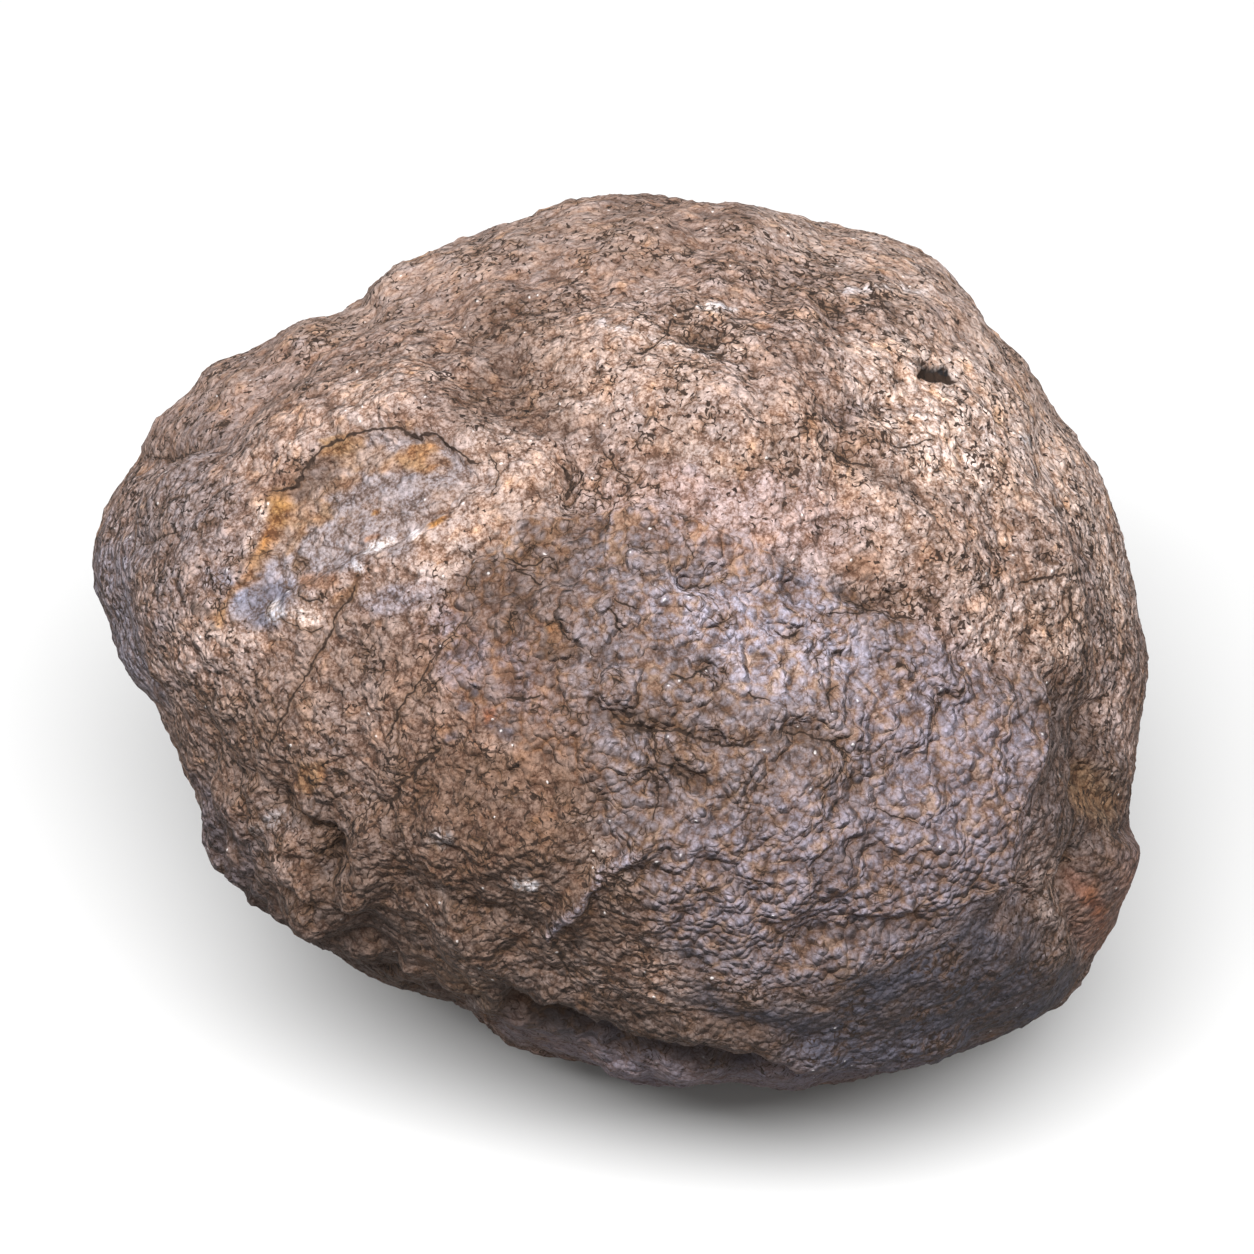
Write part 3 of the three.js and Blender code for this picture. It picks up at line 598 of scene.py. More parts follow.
# Clouds of colour on the showing side: middle, half sizes along and across, turn in degrees, how much
clouds = {
    "top of the crown": ("brown", 11, 58, 32, 6, 0, 0.2),
    "top left slope": ("brown", -24, 53, 24, 7, 22, 0.2),
    "valley": ("brown", -13, 39, 12, 10, 0, 0.88),
    "pale crown": ("cream", 3, 41, 16, 8, 5, 0.6),
    "pale strip high on the crown": ("cream", 36, 50.5, 9, 1.8, -8, 0.5),
    # The pale right crown is partly the rock's pale colour and partly painted light, made paler as if lit
    # from the right
    "pale right crown with painted light": ("paleCream", 45, 33, 14, 8, -48, 0.8),
    "pale right slope": ("cream", 46, 14, 10, 4, -50, 0.35),
    "right slope": ("cream", 39, 20, 10, 7, -20, 0.25),
    "pale middle slope": ("cream", 22, 27, 16, 6, -15, 0.4),
    # Painted light: the right shoulder and the top back are lightened as if lit from above and behind
    "right shoulder": ("paleCream", 57, 26, 14, 8, -60, 0.42),
    "painted light on the top back": ("cream", 0, 58, 12, 4, 0, 0.1),
    "left tip": ("slateBlue", -71, 4, 5, 14, 0, 0.6),
    "band over the patch": ("cream", -39, 32.5, 14, 3.6, 27, 0.45),
    "rim right of the patch": ("cream", -14.3, 25, 8, 4.5, -60, 0.65),
    "left crust": ("greyBrown", -61, 18, 9, 13, 0, 0.9),
    "left crust below": ("brown", -56, -20, 10, 15, 0, 0.6),
    "right flank": ("greyBrown", 68, 6, 6, 12, 0, 0.5),
    "lower right flank": ("shade", 65, -20, 5.5, 20, 8, 0.9),
    "hollow of the flank": ("goldenBrown", 69.2, -21.5, 1.8, 4.4, 0, 0.8),
    "pale side of the lobe": ("mauve", 71.6, -29, 1.6, 3.0, 0, 0.4),
    "orange low on the lobe": ("orange", 67.6, -37.2, 0.9, 3.8, 18, 0.6),
    "warm crease low on the left": ("goldenBrown", -16.5, -50.5, 10, 2, -26, 0.6),
    "low left": ("brown", -38, -13, 17, 13, 0, 0.6),
    "below the chip": ("brown", -37, 1, 11, 7, 0, 0.65),
    "low left dark": ("brown", -30, -33, 15, 9, 0, 0.9),
    "middle brown": ("brown", -16, -20, 15, 11, 0, 0.95),
    "dark middle": ("deepBrown", -16, -22, 14, 10, 0, 0.2),
    "middle low": ("brown", -10, -38, 15, 10, 0, 0.95),
    "left of the face": ("brown", -13.5, 6, 9, 13, 0, 0.65),
    "lilac left of the face": ("lilac", -24, 0, 4, 5, 0, 0.7),
    "lilac spot left of the face": ("lilac", -14.6, -3, 4, 4, 0, 0.6),
    "cream right of the patch": ("cream", -22, 16.5, 7.5, 4, 45, 0.55),
    "grey blue corner": ("slateBlue", -51.8, 6.6, 3.2, 4.4, 0, 0.75),
    "plum rim low on the left": ("plum", -57, -29, 14, 5.5, -50, 0.85),
    "pale lump low on the left": ("lavender", -49, -24.6, 2.4, 1.2, -20, 0.5),
    "pale spot low on the left": ("lavender", -42.5, -14.6, 2.6, 1.4, 0, 0.7),
    "tan ridge": ("beige", -18, -13.8, 5, 1.0, -10, 0.6),
    "dark trough to the hollow": ("deepBrown", -45.5, -24.3, 4, 1.3, -35, 0.6),
    # Painted shade under the ledge above the lip: the deep brown on the left is partly the rock's brown, and
    # the dark cloud beside it is painted shade
    "brown and painted shade left of the lip": ("deepBrown", -12, -52.8, 8, 2.8, -22, 0.6),
    "painted shade under the ledge over the lip": ("dark", 0, -54.2, 10, 2.4, -8, 0.4),
    # Painted shade: the downward-facing underside on the left is darkened
    "painted shade on the left underside": ("deepBrown", -40, -43, 18, 5, -26, 0.8),
    "rusty middle": ("rust", -19, -14, 16, 18, 0, 0.25),
    # Painted shade in the hollow low on the left: its wall and its bottom are darkened as if in shadow
    "dark hollow": ("shade", -42, -30.6, 1.6, 2.4, 0, 0.9),
    "painted shadow in the bottom of the hollow": ("dark", -42.2, -29.6, 1.0, 1.4, 0, 0.8),
    "top of the face": ("rosy", 17, 18.5, 18, 6, -8, 0.85),
    "lilac of the face": ("paleLilac", 21, 2, 15, 8, -12, 0.9),
    "lilac right of the face": ("lilac", 47, -16, 11, 18, 20, 0.8),
    "lilac low on the face": ("lilac", 28, -33, 22, 12, 0, 0.85),
    "grey blue band under the patch": ("slateBlue", -32, 7, 6, 2, 12, 0.5),
    "slate in the corner": ("slate", -51.3, 6, 2.8, 4, 0, 0.65),
    "pale spots by the leaf pit": ("cream", -55, 1.6, 5, 1.9, -10, 0.5),
    "pale spot on the right": ("paleCream", 58, 4, 7, 5, 10, 0.3),
    "rust patch": ("rust", 34.5, 11.5, 3, 2, 0, 0.7),
    "dark rusty spot": ("deepBrown", -10, -0.8, 1.8, 1.6, 0, 0.9),
    "second dark rusty spot": ("deepBrown", -6.5, 0, 1.6, 1.2, 0, 0.7),
    # The clouds from here down to the dark one low on the left sit on dips, pits and crevices of the mesh:
    # partly the rock's darker colour there, partly painted shade in them and under their upper edges
    "dark dip of the crown": ("deepBrown", 12, 43.6, 3.6, 1.6, -10, 0.5),
    "dark dip on the right": ("deepBrown", 31, 47.5, 1.8, 2.2, 0, 0.5),
    "grey oval": ("slate", 34, 33.5, 6.5, 1.6, 5, 0.4),
    "dark slant": ("deepBrown", 35, 25.6, 7.5, 1.4, -30, 0.45),
    "dark by the rust patch": ("deepBrown", 35.5, 7, 5.5, 1.3, -10, 0.6),
    "dark slant on the face": ("deepBrown", 9, 11.4, 7, 1.3, -28, 0.35),
    "dark spot of the face": ("deepBrown", 12.6, -2.2, 1.8, 1.5, 0, 0.6),
    "dark pit of the face": ("deepBrown", 25.6, 2.2, 1.4, 0.7, 0, 0.8),
    "dark upper dent": ("deepBrown", 4, -10.6, 7, 1.4, -8, 0.9),
    "dark lower dent": ("deepBrown", 9, -17, 4, 1.8, -35, 0.8),
    "dark long crevice": ("deepBrown", 23, -12.6, 9, 1.1, -4, 0.7),
    # Painted shade on the flank beyond the face edge, where it turns away from the light
    "dark under the face edge": ("deepBrown", 61, -6, 1.6, 7, 0, 0.35),
    "dark right crevice": ("deepBrown", 33.5, -29.6, 5.4, 1.1, 5, 0.6),
    "dark left crevice": ("deepBrown", 15, -32.4, 4.6, 1.1, -38, 0.5),
    "dark low crevice": ("deepBrown", 34, -41.3, 8.5, 1.2, 6, 0.55),
    "dark low on the left": ("deepBrown", -42.5, -24, 2.4, 4.6, 20, 0.4),
    "pale speck on the left": ("white", -50, -25, 1.6, 1.2, 20, 0.3),
    "pale speck in the middle": ("white", -25, -26.5, 2.0, 1.5, 0, 0.4),
}

# Where cracks crowd together or, below zero, keep away: middle, half sizes, turn, how much
crazing = {
    "crown": (11.5, 46, 4, 5, 0, 1.2),
    "right of the crown": (30, 50, 5, 4, 0, 1.2),
    "above the face": (-1, 25, 5, 7, 0, 0.9),
    "right slope": (35, 29, 7, 4, -20, 0.9),
    "valley foot": (-14, 33, 5, 5, 0, 0.9),
    "below the right slope": (37, 7, 8, 4, -10, 1.2),
    "top left of the face": (-15, 12, 7, 5, 0, 0.5),
    "left of the face": (-13, 4, 8, 9, 0, 0.5),
    "across the face": (14, -14, 16, 4, -8, 0.5),
    "fork in the face": (10, -20, 5, 6, -40, 0.4),
    "lilac of the face": (22, 3, 9, 6, 0, -0.8),
    "right of the face": (48, -16, 8, 12, 20, -0.8),
    "low on the face": (30, -36, 22, 8, 0, -0.5),
    "top of the face": (20, 18, 12, 4, 0, -0.7),
    "left crust": (-60, 15, 8, 10, 0, 0.5),
    "low left": (-45, -20, 9, 9, 0, 0.5),
    "below the middle": (-10, -30, 8, 6, 0, 0.5),
    "patch": (-34, 19, 16, 9, 20, -1.5),
    "right of the patch": (-15, 24, 6, 5, 0, -1.0),
    "below the patch": (-38, 3, 14, 7, 10, -0.6),
    "band over the patch": (-42, 31, 12, 4, 25, -1.1),
    "lip": (10, -61, 20, 3, 0, -0.8),
    "lobe": (70, -34, 4, 6, 0, -1.2),
}

# Ragged areas of colour: how much, closed outline
areas = {
    "fleck": ("black", 1.0, ((41.8, 40.6), (43.4, 40.2), (45.1, 39.9), (46.8, 39), (48, 37.2), (46.3, 37.3),
        (44.9, 37.7), (43.4, 38.2), (42.2, 39.2))),
    "ochre over the patch": ("ochre", 0.75, ((-42.5, 28.8), (-39.2, 29.7), (-36.4, 29.2), (-35.3, 28.4),
        (-32, 28), (-27.9, 29.3), (-26.1, 28.9), (-25.2, 26.6), (-27.1, 25.6), (-30.7, 24.9), (-35.3, 25.1),
        (-39.2, 25.6), (-41.9, 26.5))),
    "white speck low on the left": ("white", 0.9, ((-15.1, -31.7), (-13.9, -32.3), (-12.4, -31.7),
        (-10.9, -32.8), (-11.7, -34), (-13.7, -34), (-14.6, -33.1))),
    "white chip on the crown": ("white", 0.9, ((11, 49.1), (13.6, 49.5), (17.6, 49.4), (16, 48.6),
        (13, 47.7), (11.3, 48.2))),
    "pale chip under the patch": ("paleCream", 0.6, ((-48.3, 4.7), (-47, 5.8), (-44.9, 6.4), (-43, 5.8),
        (-42.4, 4.7), (-43.9, 3.3), (-45.6, 2.4), (-47.3, 3))),
    "slate chip": ("slate", 0.7, ((-21.4, -5), (-20, -5.2), (-20, -7.3), (-21.2, -7.2))),
    "second slate chip": ("slate", 0.7, ((-22.8, -7.9), (-21, -8), (-21.8, -9.6), (-23, -9.2))),
    "third slate chip": ("slate", 0.7, ((-24.9, -12.2), (-23.5, -12), (-23.6, -13.4), (-25, -13.6))),
    "fourth slate chip": ("slate", 0.6, ((-19.4, -11), (-17.2, -11), (-15, -11.6), (-15.2, -13.4),
        (-17, -13))),
    "golden chip": ("orange", 0.7, ((-18.8, -8.9), (-17.6, -8.6), (-17.6, -10.4), (-18.8, -11))),
    "golden patch low on the left": ("ochre", 0.5, ((-45.6, -17), (-42.4, -16.6), (-42.4, -19),
        (-44.6, -21.6), (-46.8, -20))),
    "golden patch left of the face": ("ochre", 0.4, ((-10.9, 3.6), (-8.6, 3.4), (-8.8, 1.8), (-10.8, 1.9))),
    "dark dot on the right": ("black", 0.9, ((47.1, 43.2), (47.8, 42.9), (47.8, 41.8), (47.1, 41.9))),
    "second dark dot on the right": ("black", 0.9, ((62.9, 20.3), (63.8, 20), (63.9, 18.8), (63.1, 18.9))),
    "white chip on the right": ("white", 1.0, ((56.2, 29.6), (57.4, 30.1), (58.9, 29.4), (59.9, 28.2),
        (59.1, 27.7), (57.8, 28.4))),
    "leaf shaped pit": ("deepBrown", 1.0, ((-59.6, 5.7), (-58.4, 6.1), (-57.2, 5.0), (-56.4, 4.0),
        (-57.5, 4.0), (-58.9, 4.7))),
    "ochre left in the patch": ("ochre", 0.65, ((-42.8, 21.8), (-41.8, 20.6), (-42.3, 19), (-46.8, 17.8),
        (-47.8, 16.2), (-50, 13.2), (-52, 12.2), (-51.9, 14.5), (-50.8, 17), (-50.6, 19.5), (-49.9, 21.4),
        (-46.8, 22))),
    "golden top left of the patch": ("ochre", 0.45, ((-51.9, 20.2), (-50.7, 21.7), (-47.4, 22.6),
        (-44.4, 24.7), (-41.4, 26.7), (-38.8, 27.8), (-37.7, 26.3), (-38, 23.7), (-41.4, 23.4),
        (-44.4, 21.9), (-46.8, 21), (-49.8, 19.8))),
}

# Brushed lines of colour: half width, how much, path
strokes = {
    # Painted highlights: pale strokes along the top of the outline, where the rim catches the light
    "painted highlight along the right rim": ("paleCream", 3.2, 0.45, ((22, 61), (40, 56), (50, 48), (60, 35), (68, 22),
        (72.5, 6))),
    "painted highlight along the left rim": ("paleCream", 3.0, 0.2, ((-44, 45.6), (-33, 51.6), (-20, 56.4), (-6, 61.4))),
    # Painted shadow: a deep brown strip just under the patch's sharp upper rim
    "painted shadow under the patch rim": ("deepBrown", 1.0, 0.7, ((-47.6, 22), (-45.6, 23.2), (-43.6, 24.8),
        (-41.4, 26.4))),
    "golden crack side": ("ochre", 0.5, 0.5, ((-38.2, 10.4), (-38.8, 8.6), (-41, 6))),
    "shade under the lip": ("dark", 1.3, 0.75, ((-12, -53.4), (-8, -55.2), (-3, -57), (0, -57.9),
        (6, -58.9), (12, -59.4), (17, -60.2), (22.5, -60))),
    "brown over the lip": ("deepBrown", 2.4, 0.8, ((-17, -48.3), (-8.6, -50.9), (0, -53.6), (11.3, -54.7),
        (19.8, -55.9))),
    "golden rim": ("ochre", 0.45, 0.7, ((-49.1, 22), (-50, 17.4), (-52.3, 12.1), (-53.9, 9.6), (-55.2, 7.5),
        (-56.1, 2.8))),
    "ochre outside the rim": ("rust", 0.9, 0.6, ((-49.8, 22), (-47.7, 23.5), (-46.3, 25.2))),
    "small ochre stroke": ("ochre", 0.55, 0.95, ((-27.8, 17.8), (-25.7, 18.6))),
    "small ochre stroke in the middle": ("ochre", 0.4, 0.9, ((-36.6, 19.5), (-35.3, 19.9))),
    "rusty stroke in the patch": ("rust", 0.5, 0.8, ((-37.7, 15.6), (-35.6, 16.4))),
    "rusty stroke under the patch": ("rust", 1.2, 0.75, ((-46.3, 10), (-42, 9.2))),
    "white streak in the patch": ("white", 0.9, 1.0, ((-37, 14.2), (-34.2, 15.6))),
    "white fleck in the patch": ("white", 0.6, 0.7, ((-30.6, 16.4), (-29.6, 15.4))),
    "white fleck under the patch": ("white", 0.7, 0.8, ((-38.2, 11.4), (-37.8, 11.2))),
    "white corner": ("white", 1.0, 0.7, ((-50.4, 5.6), (-49.4, 4.6))),
    "pale strip left of the patch": ("paleCream", 0.7, 0.4, ((-52.6, 13.9), (-51.8, 16.2), (-50.9, 20.3))),
    "whitish streak on the crown": ("white", 0.5, 0.5, ((30.5, 51.4), (37, 51), (44, 50.4))),
    "whitish streak in the middle": ("white", 0.6, 0.35, ((-3, 45.5), (4, 43.6), (12, 41.5))),
    "pale vein": ("paleLilac", 0.7, 0.8, ((-9.6, -41.4), (-8.9, -38.8), (-6.9, -36.5), (-3.5, -34.5),
        (-2.1, -31.7), (2.8, -27.7))),
    "pale ridge of the recess": ("cream", 0.5, 0.5, ((-27, -34.8), (-24.6, -40.5), (-20.4, -47))),
    # Painted highlight: a lilac sheen along the rounded right edge of the face
    "edge of the face": ("lilac", 0.9, 0.5, ((58, -9.5), (57.3, -15), (53.5, -22.5))),
}

# Blotches of the crust: colour, how much, size, least and full noise, seed, how far the front is spared
blotches = (
    ("brown", 0.75, 24, -0.1, 0.8, 2.7, 0.8),
    ("mauve", 0.7, 30, 0.05, 0.7, 8.7, 1.0),
    ("cream", 0.5, 17, 0.1, 0.9, 5.9, 0.6),
    ("brown", 0.5, 7, 0.1, 0.8, 6.9, 0.0),
    ("cream", 0.4, 6, 0.1, 0.8, 12.9, 0.0),
)

colouring = {
    "hiddenDark": 0.8,  # how brown the belly is on the hidden sides
    "stray": 3.2,  # how far, in millimetres, soft fills and wide clouds stray
    "strayLumps": 9,
    "softFill": 1.6,  # fills softer than this stray, and clouds with both half sizes over the next
    "wideCloud": 3,
    "areaRag": 1.6,  # size of the rags round an area
    "paintedLowShade": 0.27,  # painted shade that darkens the lower part, but the lip and the face less
    "lipLessShade": 0.8,
    "faceLessShade": 0.35,
}


def linear(red, green, blue):
    return np.array([v / 12.92 if v <= 0.04045 else ((v + 0.055) / 1.055) ** 2.4
                     for v in (red / 255, green / 255, blue / 255)])


def laidOver(tint, name, share):
    share = np.clip(share, 0, 1)[:, None]
    return tint * (1 - share) + linear(*palette[name]) * share


print("laying out the colours")
seen = smoothStep(-0.25, 0.05, goOut)
tint = np.tile(linear(*palette["beige"]), (len(points), 1))
for colourName, much, size, low, high, seed, spared in blotches:
    share = smoothStep(low, high, layeredNoise(points, size, 3, seed))
    tint = laidOver(tint, colourName, much * share * (1 - spared * seen))
tint = laidOver(tint, "brown", colouring["hiddenDark"] * smoothStep(40, 10, points[:, 2]) * (1 - seen))

cloudX = seenX + colouring["stray"] * layeredNoise(points, colouring["strayLumps"], 3, 3.3)
cloudY = seenY + colouring["stray"] * layeredNoise(points, colouring["strayLumps"], 3, 14.3)
for name, (colourName, softness, much) in fills.items():
    soft = softness > colouring["softFill"]
    fillDepth = depthInside(cloudX, cloudY, regions[name]) if soft else inside[name]
    tint = laidOver(tint, colourName, much * seen * smoothStep(-softness, softness, fillDepth))
for colourName, x, y, halfLength, halfWidth, turn, much in clouds.values():
    wide = min(halfLength, halfWidth) > colouring["wideCloud"]
    fromX, fromY = (cloudX - x, cloudY - y) if wide else (ragX - x, ragY - y)
    spread = ovalDistance(fromX, fromY, halfLength, halfWidth, turn)
    tint = laidOver(tint, colourName, much * seen * smoothStep(1.9, 0.2, spread))

areaRagX = layeredNoise(points, colouring["areaRag"], 2, 31.3)
areaRagY = layeredNoise(points, colouring["areaRag"], 2, 37.3)
flaky = 0.5 + 0.5 * smoothStep(-0.5, 0.35, layeredNoise(points, 2.4, 2, 61.3))
for colourName, much, outline in areas.values():
    small = len(outline) < 10
    ragWide, ragHigh, edge = (0.3, 0.3, 0.25) if small else (1.0, 0.7, 0.4)
    areaDepth = depthInside(seenX + ragWide * areaRagX, seenY + ragHigh * areaRagY, outline)
    if colourName == "ochre" and not small:
        much = much * flaky
    tint = laidOver(tint, colourName, much * seen * smoothStep(-edge, edge, areaDepth))
for colourName, halfWidth, much, path in strokes.values():
    distance = nearestOnPath(ragX, ragY, path)[0]
    tint = laidOver(tint, colourName, much * seen * smoothStep(1.5, 0.5, distance / halfWidth))

# Painted shade: the colour darkens towards the bottom of the showing side, less so on the lip and on the face
lipShadeShare = 1 - colouring["lipLessShade"] * smoothStep(-53, -57, ragY)
faceShadeShare = 1 - colouring["faceLessShade"] * face
tint *= (1 - colouring["paintedLowShade"] * smoothStep(-2, -40, cloudY) * lipShadeShare * faceShadeShare * seen)[:, None]

# What the finish reads off the mesh
patch = smoothStep(-0.5, 0.5, np.maximum(inside["patch"], inside["lobe"])) * seen
crazed = np.zeros(len(points))
for x, y, halfLength, halfWidth, turn, much in crazing.values():
    crazed += much * seen * np.exp(-ovalDistance(cloudX - x, cloudY - y, halfLength, halfWidth, turn))
lip = smoothStep(-1, 1, inside["lip"]) * seen
turnShare = smoothStep(-2, 2, inside["turn"]) * seen
slantTop = smoothStep(0.8, 0.35, goOut) * smoothStep(15, 35, seenY)
marks = {
    "face": face,
    "worn": np.clip(slantTop + 0.8 * lip + 0.5 * turnShare, 0, 1),
    "cluster": 0.5 + 0.22 * layeredNoise(points, 4.6, 3, 41.3) + 0.16 * np.clip(crazed, -1.5, 2),
    "dirt": 0.5 + 0.22 * layeredNoise(points, 4.2, 3, 43.7),
    "hue": 0.2 * layeredNoise(points, 1.9, 2, 47.9),
    "patch": patch,
    "crackSide": np.clip(crackSide, -9, 9),
    "crackShow": crackShow * seen,
    # dip is how deep the mesh's skin sinks, for the painted shade in its hollows
    "dip": np.clip(-fineHeight / 0.5, -1, 1.5),
}
ragged = points + 0.3 * noiseSteps(points, 2.8, 3, (51.1, 53.3, 57.7))


def storeOnMesh(name, kind, field, values):
    layer = rindMesh.attributes.new(name, kind, "POINT")
    layer.data.foreach_set(field, values.astype(np.float32).ravel())


for name, values in marks.items():
    storeOnMesh(name, "FLOAT", "value", values)
storeOnMesh("ragged", "FLOAT_VECTOR", "vector", ragged)
storeOnMesh("tint", "FLOAT_COLOR", "color", np.column_stack([tint, np.ones(len(tint))]))
rindMesh.polygons.foreach_set("use_smooth", np.ones(len(rindMesh.polygons), bool))


def colourOf(colour):
    return (*linear(*colour), 1.0)


def addNode(tree, kind, inputs=None, **settings):
    node = tree.nodes.new(kind)
    for name, value in settings.items():
        setattr(node, name, value)
    for name, value in (inputs or {}).items():
        if isinstance(value, bpy.types.NodeSocket):
            tree.links.new(value, node.inputs[name])
        else:
            node.inputs[name].default_value = value
    return node


def calculate(tree, operation, first, second=0.0):
    return addNode(tree, "ShaderNodeMath", {0: first, 1: second}, operation=operation).outputs[0]


def vectorMath(tree, operation, first, second, socket=1):
    return addNode(tree, "ShaderNodeVectorMath", {0: first, socket: second}, operation=operation).outputs[0]


def shareBetween(tree, value, low, high):
    inputs = {"Value": value, "From Min": low, "From Max": high, "To Min": 0.0, "To Max": 1.0}
    return addNode(tree, "ShaderNodeMapRange", inputs, interpolation_type="SMOOTHSTEP").outputs[0]


def blendColours(tree, share, first, second):
    return addNode(tree, "ShaderNodeMix", {0: share, 6: first, 7: second}, data_type="RGBA").outputs[2]


def colourRamp(tree, value, stops):
    node = addNode(tree, "ShaderNodeValToRGB", {"Fac": value})
    elements = node.color_ramp.elements
    while len(elements) < len(stops):
        elements.new(0.5)
    for element, (place, colour) in zip(elements, stops):
        element.position = place
        element.color = colourOf(colour)
    return node.outputs[0]


def noiseOf(tree, place, size, detail, roughness):
    inputs = {"Vector": place, "Scale": 1 / size, "Detail": detail, "Roughness": roughness}
    return addNode(tree, "ShaderNodeTexNoise", inputs)


def wobble(tree, place, size, much):
    noise = noiseOf(tree, place, size, 1.0, 0.55).outputs["Color"]
    centred = vectorMath(tree, "SUBTRACT", noise, (0.5, 0.5, 0.5))
    return vectorMath(tree, "ADD", place, vectorMath(tree, "SCALE", centred, much, "Scale"))


def cells(tree, place, size, feature="F1"):
    inputs = {"Vector": place, "Scale": 1 / size}
    return addNode(tree, "ShaderNodeTexVoronoi", inputs, feature=feature).outputs


def mark(tree, name, output="Fac"):
    return addNode(tree, "ShaderNodeAttribute", attribute_name=name).outputs[output]


# Sizes are in millimetres
rindFinish = {
    "crackSize": 2.6,
    "smallCrackSize": 1.25,
    "grainSize": 2.3,
    "crumbSize": 1.2,
    "mottleSize": 2.4,
    "gritSize": 0.4,
    "bumpDepth": 0.0011,  # in metres
    "roughness": 0.9,
    "gloss": 0.3,
    "crackColour": (38, 25, 17),
    "dirtColour": (88, 64, 45),
    "sparkleColour": (238, 232, 230),
    "lightStops": ((0.05, (112, 96, 84)), (0.34, (159, 147, 138)), (0.50, (186, 183, 180)),
                   (0.68, (206, 206, 205)), (0.95, (236, 236, 236))),
    "hueStops": ((0.26, (179, 189, 204)), (0.42, (183, 190, 201)), (0.56, (186, 190, 197)),
                 (0.70, (191, 188, 187)), (0.84, (199, 187, 168))),
    "brightness": 2.69,  # makes up for the two ramps
    "layersFrom": 70.0,  # height over the floor where the thin layers begin, and where they are full
    "layersFull": 100.0,
    "crackOpen": 0.018,  # half widths, in the noise's own measure
    "seamOpen": 0.04,
    "smallCrackOpen": 0.065,
    "faceCalm": 0.4,  # how much plainer than the crust the face is
    "wornCalm": 0.5,
}

# How much lighter or, below zero, darker each thing makes a spot
lightness = {
    "mottle": 0.36,
    "grain": 0.17,
    "roundGrain": -0.25,
    "seam": -0.1,
    "crumb": 0.2,
    "roundCrumb": -0.5,
    "layer": 0.5,
    "grit": 1.6,
    "furrow": -0.2,
    # dip: painted shade, darker where the mesh dips
    "dip": -0.1,
}

# How much of its colour each thing gets
shares = {
    "dirt": 0.2,
    "crackSide": 0.8,
    "halo": 0.55,
    # hollow: painted shade in the hollows of the mesh
    "hollow": 0.35,
    "pinhole": 0.6,
    "crack": 0.94,
    "sparkle": 0.5,
}

# How far each thing stands out in the relief
reliefs = {
    "crumb": 0.8,
    "crumbOfFace": 0.4,  # more of it there
    "crumbLostInPatch": 0.2,
    "grain": 0.5,
    "wavesLostInFace": 0.8,
    "lostWhereWorn": 0.5,
}


